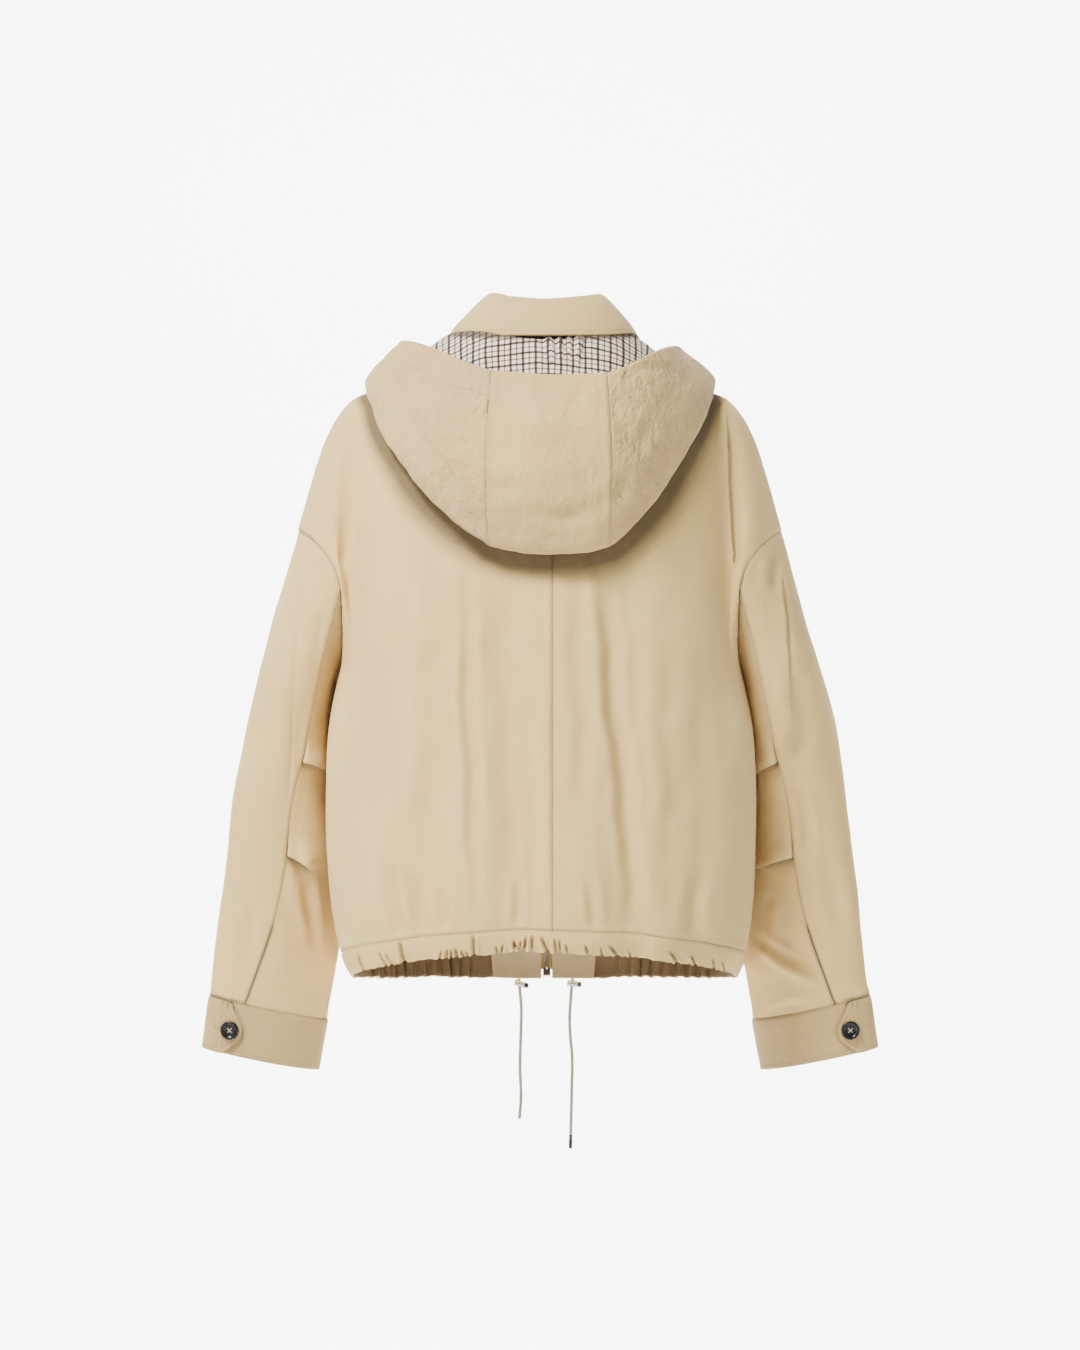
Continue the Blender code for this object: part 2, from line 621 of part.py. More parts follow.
def panel_levels(side):
    steps = BACK_COLUMNS if side > 0 else FRONT_COLUMNS
    return LOWER_LEVELS + [1 + i / steps for i in range(1, steps + 1)]


def share_at(side, x, level):
    """The share of the half panel at which the plain body has this x."""
    low, high = 0.0, 0.5
    for _ in range(30):
        middle = (low + high) / 2
        if abs(plain_body(side, math.copysign(middle, x), level)[0]) < abs(x):
            low = middle
        else:
            high = middle
    return math.copysign(low, x)


def panel_shares(side, x, hand, level):
    """The shares of a panel's columns on one level, from x near the middle out to the side seam."""
    sign = 1 if hand == "left" else -1
    first = share_at(side, x, level) * sign
    neck = [first + (NECK_SHARE - first) * i / NECK_STEPS for i in range(NECK_STEPS)]
    shoulder = [NECK_SHARE + (FOLD_SHARE - NECK_SHARE) * i / SHOULDER_STEPS for i in range(SHOULDER_STEPS)]
    return [sign * share for share in neck + shoulder + ARM_COLUMN_SHARES]


def panel(side, x, hand):
    """Rows of points and outward directions of a panel, with its columns from the wearer's right to the left."""
    rows, outs = [], []
    for level in panel_levels(side):
        shares = sorted(panel_shares(side, x, hand, level))
        rows.append([body(side, s, level) for s in shares])
        outs.append([body_out(side, s, level) for s in shares])
    return rows, softened(outs, 2)


def collar_top(angle):
    """A point of the line along which the collar turns down."""
    a = math.radians(angle)
    x = COLLAR_LEAN + COLLAR_TOP_HALF_WIDTH * math.sin(a)
    return np.array([x, COLLAR_TOP_Y + COLLAR_TOP_DEPTH * math.cos(a), read(COLLAR_TOP, abs(angle), "height")])


def neck_angle(point):
    return math.degrees(math.atan2(point[0] / NECK_HALF_WIDTH, (point[1] - NECK_MIDDLE_Y) / NECK_DEPTH))


def stand_out(point):
    """The outward direction of the collar stand where it meets the neck seam."""
    rise = unit(collar_top(neck_angle(point)) - point)
    away = np.array([point[0], point[1] - NECK_MIDDLE_Y, 0])
    return unit(away - rise * np.dot(away, rise))


def place_key(point):
    return tuple(int(round(v * 1e5 + 0.137)) for v in point)


def shared_directions(grids, arm_outs):
    """Where pieces meet along a seam, each takes one outward direction, halfway between them."""
    shared = {}
    for rows, outs in grids.values():
        for r, row in enumerate(rows):
            for c, point in enumerate(row):
                on_edge = r in (0, len(rows) - 1) or c in (0, len(row) - 1)
                if on_edge:
                    key = place_key(point)
                    shared[key] = shared.get(key, np.zeros(3)) + outs[r][c]
                    if r == len(rows) - 1 and abs(point[0]) <= NECK_HALF_WIDTH + 1e-6:
                        shared[key] = shared[key] + stand_out(point)
    mirror = np.array([-1, 1, 1])
    for column in range(COLUMNS):
        point, arm_side = armhole_loop(column), arm_outs[column]
        key = place_key(point)
        body_side = unit(shared[key])
        closeness = seam_closeness(body_side, arm_side)
        shared[key] = body_side + arm_side * closeness
        shared[place_key(point * mirror)] = shared[key] * mirror
        arm_outs[column] = unit(arm_side + body_side * closeness)
    for rows, outs in grids.values():
        for r, row in enumerate(rows):
            for c, point in enumerate(row):
                key = place_key(point)
                if key in shared and (r in (0, len(rows) - 1) or c in (0, len(row) - 1)):
                    outs[r][c] = unit(shared[key])


def seam_closeness(a, b):
    """1 where two pieces lie nearly flat at their seam, 0 where they fold back on each other."""
    return ease((np.dot(a, b) + 0.6) / 0.8)


def make_body(finish):
    """Two backs and two fronts. Returns their outer grids, and the outward directions of the armhole seam."""
    grids = {
        "back_left": panel(1, BACK_SEAM_X, "left"),
        "back_right": panel(1, BACK_SEAM_X, "right"),
        "front_left": panel(-1, ZIP_X + ZIP_HALF_OPENING, "left"),
        "front_right": panel(-1, ZIP_X - ZIP_HALF_OPENING, "right"),
    }
    arm_outs = [surface_normal(plain_sleeve, c, 0, step=5e-3, limits=(0, 1)) for c in range(COLUMNS)]
    shared_directions(grids, arm_outs)
    zip_edges = {"front_left": "first_column", "front_right": "last_column"}
    for name, (rows, outs) in grids.items():
        edges = [edge for edge in ALL_EDGES if edge != zip_edges.get(name)]
        wall(name, pull_back(rows, edges), pull_back(moved_in(rows, outs, CLOTH), edges), finish)
    return grids, arm_outs


# ---------------------------------------------------------------- sleeves and cuffs

SLEEVE_GAP = 0.0030
SLEEVE_CLEAR = 0.0012
SLEEVE_SEAM_ALLOWANCE = 0.0012  # the inner edges of the sleeve's seams are set back by this


def sleeve_lengths():
    """Rows down the sleeve, with a close pair at each tuck."""
    plain = [0.0, 0.015, 0.04, 0.08, 0.13, 0.20, 0.42, 0.65, SLIT_START, 0.82, CUFF_START]
    tucks = [t for place in TUCKS["length"] for t in (place - 0.035, place, place + TUCK_STEP)]
    return sorted(plain + tucks)


def sleeve_gap(height):
    """How far the sleeve stays off the body: it opens from the underarm point down."""
    return HALF_GAP + (SLEEVE_GAP - HALF_GAP) * ease((ARMPIT_Z - height) / 0.04)


def make_sleeve(hand, grids, arm_outs, finish):
    """A sleeve of two pieces. The right one is made on the left side of a mirrored body, and turned over at the end."""
    turned = mirrored if hand == "right" else list
    backs, fronts = turned(grids["back_" + hand][0]), turned(grids["front_" + hand][0])
    torso = surface_tree((backs[: len(LOWER_LEVELS)], 1), (fronts[: len(LOWER_LEVELS)], -1))
    back_outs = turned(grids["back_" + hand][1])
    rows = []
    for length in sleeve_lengths():
        ring = [plain_sleeve(column, length) for column in range(COLUMNS)]
        rows.append([kept_clear(p, torso, sleeve_gap(p[2])) if p[2] < ARMPIT_Z - 1e-4 else p for p in ring])
    outs = grid_outs(rows, closed=True)
    outs[0] = arm_outs
    outs = [line[:-1] for line in softened([line + line[:1] for line in outs], 2)]
    for length, row, line in zip(sleeve_lengths(), rows, outs):
        for column in range(COLUMNS):
            row[column] = row[column] + line[column] * sleeve_relief(column, length)
    below = next(i for i, row in enumerate(rows) if max(p[2] for p in row[6:13]) < ARMPIT_Z - 0.01)
    around = cleared([row + row[:1] for row in rows], torso, SLEEVE_CLEAR, below)
    rows = [row[:-1] for row in around]
    body_side = {column: back_outs[-1 - column][-1] for column in range(BACK_COLUMNS)}
    for column, out in body_side.items():
        folded_back = 1 - seam_closeness(out, arm_outs[column])
        rows[0][column] = rows[0][column] - arm_outs[column] * SEAM_GAP * folded_back
    rows[0][BACK_COLUMNS] = rows[0][BACK_COLUMNS] - arm_outs[BACK_COLUMNS] * SEAM_GAP
    inner = moved_in(rows, outs, CLOTH)
    pieces = {
        "top_sleeve": list(range(BACK_COLUMNS, COLUMNS)) + list(range(ELBOW_COLUMN + 1)),
        "under_sleeve": list(range(ELBOW_COLUMN, BACK_COLUMNS + 1)),
    }
    for name, columns in pieces.items():
        outside = pull_back([[row[c] for c in columns] for row in rows], ALL_EDGES)
        inside = pull_back([[row[c] for c in columns] for row in inner], ALL_EDGES)
        inside = pull_back(inside, ("first_column", "last_column"), SLEEVE_SEAM_ALLOWANCE)
        slit, beside = (-1, -2) if name == "top_sleeve" else (0, 1)
        for length, out_row, in_row in zip(sleeve_lengths(), outside, inside):
            if length > SLIT_START:
                for row in (out_row, in_row):
                    row[slit] = row[slit] + unit(row[beside] - row[slit]) * SLIT_GAPE
        wall(name + "_" + hand, turned(outside), turned(inside), finish)


CUFF_LIFT = 0.0012
TAB_START, TAB_END = 402, 424  # where the tab narrows, and its point, as angles round the sleeve
TAB_POINT = 0.56  # how far down the cuff the tab's point lies
UNDERLAP_START, UNDERLAP_END = 36, 112
UNDERLAP_DROP = BAND + 0.0009
CUFF_ANGLES = [36, 46, 56, 66, 78, 94, 112, 130, 150, 168, 182, 200, 228, 258, 288, 316, 338, 352, 364, 376, 388, 396]
TAB_ANGLES = [402, 408, 414, 419, 424]


def cuff_point(angle, down, out):
    """A point of the cuff: angle in degrees round it, down from 0 at its seam to 1 at its edge."""
    length = CUFF_START + (1 - CUFF_START) * down

    def near(a, b):
        return sleeve_oval(b, a)

    normal = surface_normal(near, angle, min(max(length, 0.91), 0.99), step=1e-2)
    return sleeve_oval(length, angle) + normal * out


def make_cuffs(finish):
    """Each cuff is one band. Its pointed end lies over its other end and buttons down."""
    outer, inner = [], []
    for down in (0.0, TAB_POINT, 1.0):
        row_out, row_in = [], []
        for angle in CUFF_ANGLES + TAB_ANGLES:
            under = 1 - ease((angle - TAB_END + 360 - 2) / (UNDERLAP_END - TAB_END + 360))
            lift = CUFF_LIFT - under * UNDERLAP_DROP
            narrowing = min(max((angle - TAB_START) / (TAB_END - TAB_START), 0), 0.94)
            place = max(down + (TAB_POINT - down) * narrowing, 0.006)
            row_out.append(cuff_point(angle, place, lift))
            row_in.append(cuff_point(angle, place, lift - BAND))
        outer.append(row_out)
        inner.append(row_in)
    wall("cuff_left", outer, inner, finish)
    wall("cuff_right", mirrored(outer), mirrored(inner), finish)


BUTTON_RADIUS, BUTTON_THICK = 0.0092, 0.0034
BUTTON_ANGLE, BUTTON_DOWN = 46, 0.53
BUTTON_OUTLINE = {
    "radius": (0.0, 0.58, 0.80, 0.96, 1.0, 0.86, 0.0),
    "height": (0.60, 0.60, 1.0, 0.80, 0.40, 0.0, 0.0),
}


def make_buttons(finish):
    """Dished buttons with a raised rim, one on each cuff tab."""
    for hand, flip in (("left", 1), ("right", -1)):
        shape = bmesh.new()
        outline = zip(BUTTON_OUTLINE["radius"], BUTTON_OUTLINE["height"])
        verts = [shape.verts.new((r * BUTTON_RADIUS, 0, h * BUTTON_THICK)) for r, h in outline]
        edges = [shape.edges.new(pair) for pair in zip(verts, verts[1:])]
        bmesh.ops.spin(shape, geom=verts + edges, cent=(0, 0, 0), axis=(0, 0, 1), angle=2 * math.pi, steps=14)
        bmesh.ops.remove_doubles(shape, verts=shape.verts, dist=1e-6)
        bmesh.ops.recalc_face_normals(shape, faces=shape.faces)
        mesh = bpy.data.meshes.new("button_" + hand)
        shape.to_mesh(mesh)
        shape.free()
        made = add_object("button_" + hand, mesh, finish)
        mirror = np.array([flip, 1, 1])
        seat = cuff_point(360 + BUTTON_ANGLE, BUTTON_DOWN, CUFF_LIFT)
        out = unit(cuff_point(360 + BUTTON_ANGLE, BUTTON_DOWN, CUFF_LIFT + 0.01) - seat)
        made.location = Vector((seat + out * SEAM_GAP * 1.3) * mirror)
        made.rotation_mode = "QUATERNION"
        made.rotation_quaternion = Vector(out * mirror).to_track_quat("Z", "Y")


# ---------------------------------------------------------------- hem casing and facings

CASING_DOWN = {"down": (0.0, 0.30, 0.66, 1.0), "ripple": (0.0, 0.85, 1.0, 1.1), "puff": (0.0, 0.0012, 0.0012, 0.0)}
GATHER = {"spacing": 0.0064, "height": 0.0024, "steepest": 0.38}


def gathers(length, start, end, shift):
    """Distances along a casing of its crests and troughs, with their heights, uneven as a drawcord leaves them."""
    places, at = [], start
    while at < length - end - GATHER["spacing"] * 0.6:
        places.append(at)
        n = len(places)
        at += GATHER["spacing"] * (1 + 0.30 * math.sin(2.1 * n + shift) + 0.20 * math.sin(0.73 * n + 2 * shift))
    waves = [0.0]
    for n in range(1, len(places)):
        room = (places[n] - places[n - 1]) * GATHER["steepest"]
        height = min(GATHER["height"] * (1 + 0.3 * math.sin(1.7 * n)), room)
        waves.append(height if n % 2 else -height)
    return places, waves


def seam_distances(seam):
    distances = [0.0]
    for a, b in zip(seam, seam[1:]):
        distances.append(distances[-1] + float(np.linalg.norm(b - a)))
    return distances


def along_seam(values, distances, at):
    """The value at a distance along a seam, straight between its points."""
    i = max(n for n in range(len(distances) - 1) if distances[n] <= at + 1e-9)
    t = (at - distances[i]) / (distances[i + 1] - distances[i])
    return values[i] + (values[i + 1] - values[i]) * min(t, 1.0)


def hem_out(point):
    """The level direction square to the hem at a point."""
    return unit(np.array([point[0] / 0.19**2, point[1] / 0.125**2, 0]))


def make_casing(name, side, seam, seam_outs, flat_ends, shift, finish):
    """The drawcord casing along one stretch of the hem. flat_ends counts the seam steps left flat at each end."""
    distances = seam_distances(seam)
    length = distances[-1]
    start, end = distances[flat_ends[0]], length - distances[-1 - flat_ends[1]]
    places, waves = gathers(length, start, end, shift)
    before = distances[: flat_ends[0]]
    after = distances[-1 - flat_ends[1] :]
    places, waves = before + places + after, [0.0] * len(before) + waves + [0.0] * len(after)
    outer, inner, rows_out = [], [], []
    for down, ripple, puff in zip(CASING_DOWN["down"], CASING_DOWN["ripple"], CASING_DOWN["puff"]):
        row_out, row_in, directions = [], [], []
        for at, wave in zip(places, waves):
            top = along_seam(seam, distances, at)
            away = hem_out(top)
            share = math.atan2(abs(top[0]) / 0.19, abs(top[1]) / 0.13) / (math.pi / 2)
            columns = ("back_seam", "back_edge") if side > 0 else ("front_seam", "front_edge")
            seam_height, edge_height = read(HEM, share, *columns)
            height = top[2] + (edge_height - seam_height) * down
            narrower = half_width_at(top[0], height) - half_width_at(top[0], top[2])
            point = np.array([top[0], top[1], height]) + away * (narrower + wave * ripple + puff)
            if down == 1:
                point[2] += wave * 0.4
            out = away if down > 0 else unit(along_seam(seam_outs, distances, at))
            row_out.append(point)
            directions.append(out)
            row_in.append(point - out * (BAND if down > 0 else CLOTH))
        outer.append(row_out)
        inner.append(row_in)
        rows_out.append(directions)
    edges = ("first_row", "first_column", "last_column")
    wall(name, pull_back(outer, edges), pull_back(inner, edges), finish)
    return outer, rows_out


def joined(a, b):
    """Two grids side by side that share their middle column."""
    return [left + right[1:] for left, right in zip(a, b)]


def make_casings(grids, finish):
    back = joined(grids["back_right"][0], grids["back_left"][0])[0]
    back_outs = joined(grids["back_right"][1], grids["back_left"][1])[0]
    make_casing("casing_back", 1, back, back_outs, (0, 0), 0.9, finish)
    fronts = {}
    for hand, flat_ends in (("left", (FACING_STEPS, 0)), ("right", (0, FACING_STEPS))):
        rows, outs = grids["front_" + hand]
        fronts[hand] = make_casing("casing_front_" + hand, -1, rows[0], outs[0], flat_ends, 2.3, finish)
    return fronts


def front_edge_strip(grids, fronts, hand, columns):
    """Rows of the front from the hem up, for some of its columns: the casing first, then the panel."""
    casing, casing_outs = fronts[hand]
    rows, outs = grids["front_" + hand]
    strip = [[row[c] for c in columns] for row in reversed(casing[1:])] + [[row[c] for c in columns] for row in rows]
    directions = [[line[c] for c in columns] for line in reversed(casing_outs[1:])]
    directions += [[line[c] for c in columns] for line in outs]
    thickness = [BAND] * (len(casing) - 1) + [CLOTH] * len(rows)
    return strip, directions, thickness


def make_facings(grids, fronts, finish):
    """A plain strip inside each front, from the zip outwards, from the neck to the hem."""
    for hand in ("left", "right"):
        columns = list(range(FACING_STEPS + 1)) if hand == "left" else list(range(-1 - FACING_STEPS, 0))
        strip, outs, thickness = front_edge_strip(grids, fronts, hand, columns)
        outer, inner = [], []
        for row, line, thick in zip(strip, outs, thickness):
            outer.append([p - n * (thick + SEAM_GAP) for p, n in zip(row, line)])
            inner.append([p - n * (thick + SEAM_GAP + LINING) for p, n in zip(row, line)])
        edges = ("first_row", "last_row")
        wall("facing_" + hand, pull_back(outer, edges, SEAM_GAP * 2), pull_back(inner, edges, SEAM_GAP * 2), finish)


# ---------------------------------------------------------------- zip


def zip_line(grids, fronts):
    """The middle of the zip from the hem up: points, outward directions and each side's front edge."""
    left, left_outs, _ = front_edge_strip(grids, fronts, "left", [0])
    right, right_outs, _ = front_edge_strip(grids, fronts, "right", [-1])
    line = []
    for a, b, m, n in zip(left, right, left_outs, right_outs):
        out = m[0] + n[0]
        line.append(((a[0] + b[0]) / 2, unit(np.array([0, out[1], out[2]])), a[0], b[0]))
    return line


def make_tapes(line, finish):
    """One tape on each side, from the front's edge to the middle, ending above the box."""
    for hand, side in (("left", 2), ("right", 3)):
        outer, inner = [], []
        for entry in line[1:]:
            middle, out, edge = entry[0], entry[1], entry[side]
            inward = unit(middle - edge)
            row = [edge + inward * SEAM_GAP, middle - inward * HALF_GAP]
            row = row if hand == "right" else row[::-1]
            outer.append([p - out * ZIP_RECESS for p in row])
            inner.append([p - out * (ZIP_RECESS + CLOTH) for p in row])
        edges = ("first_row", "last_row")
        wall("zip_tape_" + hand, pull_back(outer, edges, SEAM_GAP), pull_back(inner, edges, SEAM_GAP), finish)


def zip_place(line, height):
    """The middle of the zip at a height: a point, the direction up along the zip and the outward direction."""
    i = max(n for n in range(len(line) - 1) if line[n][0][2] <= height)
    low, high = line[i][0], line[i + 1][0]
    t = (height - low[2]) / (high[2] - low[2])
    up = unit((high - low) * np.array([0, 1, 1]))
    out = unit(np.cross(up, np.array([1, 0, 0])))
    return low + (high - low) * t, up, out if out[1] < 0 else -out


def placed_box(name, size, centre, up, out, finish, bevel):
    """A box with rounded edges: size is across, along up and along out."""
    mesh = bpy.data.meshes.new(name)
    shape = bmesh.new()
    bmesh.ops.create_cube(shape, size=1)
    bmesh.ops.scale(shape, vec=size, verts=shape.verts)
    bmesh.ops.bevel(shape, geom=shape.edges, offset=bevel, segments=1, affect="EDGES")
    bmesh.ops.triangulate(shape, faces=shape.faces)
    across = np.cross(up, out)
    turn = Matrix((across, up, out)).transposed().to_4x4()
    shape.transform(Matrix.Translation(Vector(centre)) @ turn)
    shape.to_mesh(mesh)
    shape.free()
    return add_object(name, mesh, finish)


def cut(target, cutter, operation="DIFFERENCE"):
    """Cuts target by cutter, or joins it on, and takes the cutter out of the scene."""
    change = target.modifiers.new("cut", "BOOLEAN")
    change.operation = operation
    change.object = cutter
    evaluated = target.evaluated_get(bpy.context.evaluated_depsgraph_get())
    target.data = bpy.data.meshes.new_from_object(evaluated)
    target.modifiers.clear()
    bpy.data.objects.remove(cutter)


def make_slider(line, metal):
    """The slider with its bail, and the pull tab that hangs in it."""
    place, up, out = zip_place(line, SLIDER_HEIGHT)
    plate_top = SLIDER["lift"] + SLIDER["thick"]
    size = (SLIDER["wide"], SLIDER["long"], SLIDER["thick"])
    slider = placed_box("zip_slider", size, place + out * (plate_top - SLIDER["thick"] / 2), up, out, metal, 0.0006)
    pivot = place + out * (plate_top + BAIL["hole"] + 0.0001)
    bpy.ops.mesh.primitive_torus_add(
        major_radius=BAIL["hole"] + BAIL["bar"] / 2,
        minor_radius=BAIL["bar"] / 2,
        major_segments=14,
        minor_segments=6,
        location=Vector(pivot),
        rotation=(0, math.pi / 2, 0),
    )
    cut(slider, bpy.context.object, "UNION")

    top, bottom = PULL["half_bar"], -PULL["long"]
    size = (2 * PULL["outer"], top - bottom, PULL["thick"])
    tab = placed_box("zip_pull", size, pivot + up * (top + bottom) / 2, up, out, metal, 0.0005)
    size = (2 * PULL["inner"], PULL["start"] - PULL["half_bar"], PULL["thick"] * 3)
    window = placed_box("window", size, pivot - up * (PULL["start"] + PULL["half_bar"]) / 2, up, out, metal, 0.0003)
    cut(tab, window)


def make_zip_box(line, metal):
    place, up, out = zip_place(line, line[1][0][2] - SEAM_GAP - ZIP_BOX["long"] / 2)
    size = (ZIP_BOX["wide"], ZIP_BOX["long"], ZIP_BOX["thick"])
    placed_box("zip_box", size, place - out * ZIP_BOX["thick"] / 2, up, out, metal, 0.0005)


# ---------------------------------------------------------------- drawcord ends


def cord_route(hand, face_y):
    """The smooth route of one cord end, as evenly spaced points."""
    route = CORDS[hand]
    knots = [np.array([x, face_y - out, z]) for x, out, z in zip(route["x"], route["out"], route["z"])]
    at = seam_distances(knots)
    steps = int(at[-1] / (5 * CORD_RADIUS))
    keys = [at[-1] * i / steps for i in range(steps + 1)]
    return [np.array([between(at, [k[axis] for k in knots], key) for axis in range(3)]) for key in keys]


def cylinder(name, start, end, radius, finish, sides=14):
    """A round bar from start to end."""
    axis = Vector(end) - Vector(start)
    mesh = bpy.data.meshes.new(name)
    shape = bmesh.new()
    bmesh.ops.create_cone(
        shape, cap_ends=True, segments=sides, radius1=radius, radius2=radius, depth=axis.length
    )
    turn = axis.to_track_quat("Z", "Y").to_matrix().to_4x4()
    shape.transform(Matrix.Translation((Vector(start) + Vector(end)) / 2) @ turn)
    shape.to_mesh(mesh)
    shape.free()
    return add_object(name, mesh, finish)


def make_cord(hand, face_y, cloth):
    points = cord_route(hand, face_y)
    curve = bpy.data.curves.new("cord_" + hand, "CURVE")
    curve.dimensions = "3D"
    curve.bevel_depth = CORD_RADIUS
    curve.bevel_resolution = 2
    curve.use_fill_caps = True
    spline = curve.splines.new("POLY")
    spline.points.add(len(points) - 1)
    for place, point in zip(spline.points, points):
        place.co = (*point, 1)
    add_object("cord_" + hand, curve, cloth)
    return points


def make_lock(hand, points, metal, dark):
    """A round barrel on the cord just below the hem, with its push button at one end."""
    height = HEM["front_edge"][0] - LOCK["drop"]
    i = next(n for n in range(len(points)) if points[n][2] < height)
    t = (points[i - 1][2] - height) / (points[i - 1][2] - points[i][2])
    middle = points[i - 1] + (points[i] - points[i - 1]) * t
    along = unit(points[i] - points[i - 1])
    axis = np.array([-math.cos(LOCK_TILT[hand]), 0, -math.sin(LOCK_TILT[hand])])
    half = LOCK["long"] / 2
    barrel = cylinder("cord_lock_" + hand, middle - axis * half, middle + axis * half, LOCK["radius"], metal)
    reach = LOCK["radius"] * 3
    hole = cylinder("hole", middle - along * reach, middle + along * reach, CORD_RADIUS + 0.00035, metal)
    cut(barrel, hole)
    start = middle + axis * (half + SEAM_GAP)
    cylinder("cord_lock_button_" + hand, start, start + axis * LOCK["head_long"], LOCK["head_radius"], dark)


def make_cords(fronts, cord, metal, dark):
    for hand in ("left", "right"):
        row = fronts[hand][0][2]
        x = CORDS[hand]["x"][0]
        i = next(n for n in range(len(row) - 1) if row[n][0] <= x <= row[n + 1][0])
        t = (x - row[i][0]) / (row[i + 1][0] - row[i][0])
        face_y = row[i][1] + (row[i + 1][1] - row[i][1]) * t
        points = make_cord(hand, face_y, cord)
        make_lock(hand, points, metal, dark)
        if hand == "right":
            down = unit(points[-1] - points[-2])
            start = points[-1] + down * SEAM_GAP
            cylinder("cord_tip_right", start, start + down * CORD_TIP["long"], CORD_TIP["radius"], dark, 12)


# ---------------------------------------------------------------- hood


def hood_section(place, tangent, tree):
    """The hood's outside at one place round the neck: from the body up, over its neck edge, down to the fold and up
    its outer side to the front edge."""
    p = abs(place)
    flip = np.array([math.copysign(1, place), 1, 1])
    lean = np.array([HOOD_LEAN * (1 - ease(p / HOOD_LEAN_REACH)), 0, 0])
    neck = read(HOOD, p, "neck_x", "neck_y", "neck_z") * flip
    fold = read(HOOD, p, "fold_x", "fold_y", "fold_z") * flip + lean
    rim = read(HOOD, p, "rim_x", "rim_y", "rim_z") * flip + lean
    rim[2] += HOOD_TILT * rim[0]
    bend, swell = read(HOOD, p, "round", "swell")
    down = unit(fold - (neck + rim) / 2)
    out = unit(np.cross(tangent, down))
    near_side = kept_clear(fold - down * bend - out * bend, tree, HOOD_GAP)
    far_side = near_side + out * 2 * bend
    low = near_side + out * bend + down * bend
    seat = neck * np.array([0.965, 0.965, 1]) - np.array([0, 0, HOOD_STAND])
    down_the_back = [kept_clear(neck + (near_side - neck) * share, tree, HOOD_GAP) for share in (0.09, 0.38, 0.72)]
    up_the_outside = []
    for share, amount in ((0.34, 1.0), (0.72, 0.72)):
        up_the_outside.append(far_side + (rim - far_side) * share + out * swell * amount)
    return [seat, neck, *down_the_back, near_side, low, far_side, *up_the_outside, rim]


def through(points, t):
    """A point on a smooth curve through some points; t counts from the first."""
    spaced = [float(i) for i in range(len(points))]
    return np.array([between(spaced, [p[axis] for p in points], t) for axis in range(3)])


def hood_places():
    """Places round the hood, from the right end to the left end, and where its two seams are."""
    side, middle = HOOD_PANEL_STEPS["side"], HOOD_PANEL_STEPS["middle"]
    right = [-1 + (1 - HOOD_SEAM) * i / side for i in range(side)]
    centre = [-HOOD_SEAM + 2 * HOOD_SEAM * i / middle for i in range(middle + 1)]
    left = [HOOD_SEAM + (1 - HOOD_SEAM) * i / side for i in range(1, side + 1)]
    return right + centre + left, side, side + middle


def fold_line(place):
    flip = np.array([math.copysign(1, place), 1, 1])
    return read(HOOD, abs(place), "fold_x", "fold_y", "fold_z") * flip


def hood_gap(place, t):
    """How far the hood lies off the body: its outer side lies off by its own thickness as well."""
    gap = HOOD_GAP * (1 - 0.6 * ease((place - 0.7) / 0.3))
    return gap + 1.8 * read(HOOD, place, "round") * ease((t - 5) / 2)


def make_hood(grids, shell, check):
    """A hood of three panels with a lining. Its rows run from the neck down, round the fold and up to the rim."""
    sides = {"back_left": 1, "back_right": 1, "front_left": -1, "front_right": -1}
    tree = surface_tree(*[(grids[name][0], side) for name, side in sides.items()])
    places, first, second = hood_places()
    sections = []
    for place in places:
        tangent = unit(fold_line(min(place + 0.04, 1)) - fold_line(max(place - 0.04, -1)))
        sections.append(hood_section(place, tangent, tree))
    rows = [[through(section, t) for section in sections] for t in HOOD_ROWS]
    for t, row in zip(HOOD_ROWS, rows):
        for c, place in enumerate(places):
            row[c] = kept_clear(row[c], tree, hood_gap(abs(place), t))
    rows[0] = [seated(p, tree, HOOD_SEAT) for p in rows[0]]
    rows = cleared(rows, tree, HOOD_SEAT)
    outs = grid_outs(rows)
    inner = moved_in(rows, outs, CLOTH)
    inner[0] = [kept_clear(p, tree, HOOD_SEAT) for p in inner[0]]
    panels = {"hood_right": (0, first), "hood_middle": (first, second), "hood_left": (second, len(places) - 1)}
    for name, (a, b) in panels.items():
        edges = [edge for edge, seam in (("first_column", a > 0), ("last_column", b < len(places) - 1)) if seam]
        outside = pull_back([row[a : b + 1] for row in rows], edges)
        inside = pull_back([row[a : b + 1] for row in inner], edges)
        wall(name, outside, inside, shell)
    lining = moved_in(rows, outs, CLOTH + SEAM_GAP)
    lining_inner = moved_in(rows, outs, CLOTH + SEAM_GAP + LINING)
    wall("hood_lining", *[[row[3:-3] for row in grid[1:-1]] for grid in (lining, lining_inner)], check)


# ---------------------------------------------------------------- collar


def neck_seam(grids):
    """The neck seam from the right end of the zip round the back to the left end: points and directions."""
    found = {}
    for rows, outs in grids.values():
        for point, out in zip(rows[-1], outs[-1]):
            if abs(point[0]) <= NECK_HALF_WIDTH + 1e-6:
                found[place_key(point)] = (neck_angle(point), point, out)
    ordered = sorted(found.values(), key=lambda entry: entry[0])
    return [entry[1] for entry in ordered], [entry[2] for entry in ordered]


def make_stand(grids, finish):
    seam, seam_outs = neck_seam(grids)
    tops = [collar_top(neck_angle(p)) for p in seam]
    rows = [[p + (top - p) * share for p, top in zip(seam, tops)] for share in (0.0, 0.34, 0.67, 1.0)]
    outs = grid_outs(rows)
    outs[0] = seam_outs
    inner = moved_in(rows, outs, COLLAR)
    trimmed = [pull_back(pull_back(grid, ["first_row"], SEAM_GAP * 2), ["last_row"]) for grid in (rows, inner)]
    wall("collar_stand", *trimmed, finish)
    return rows, outs


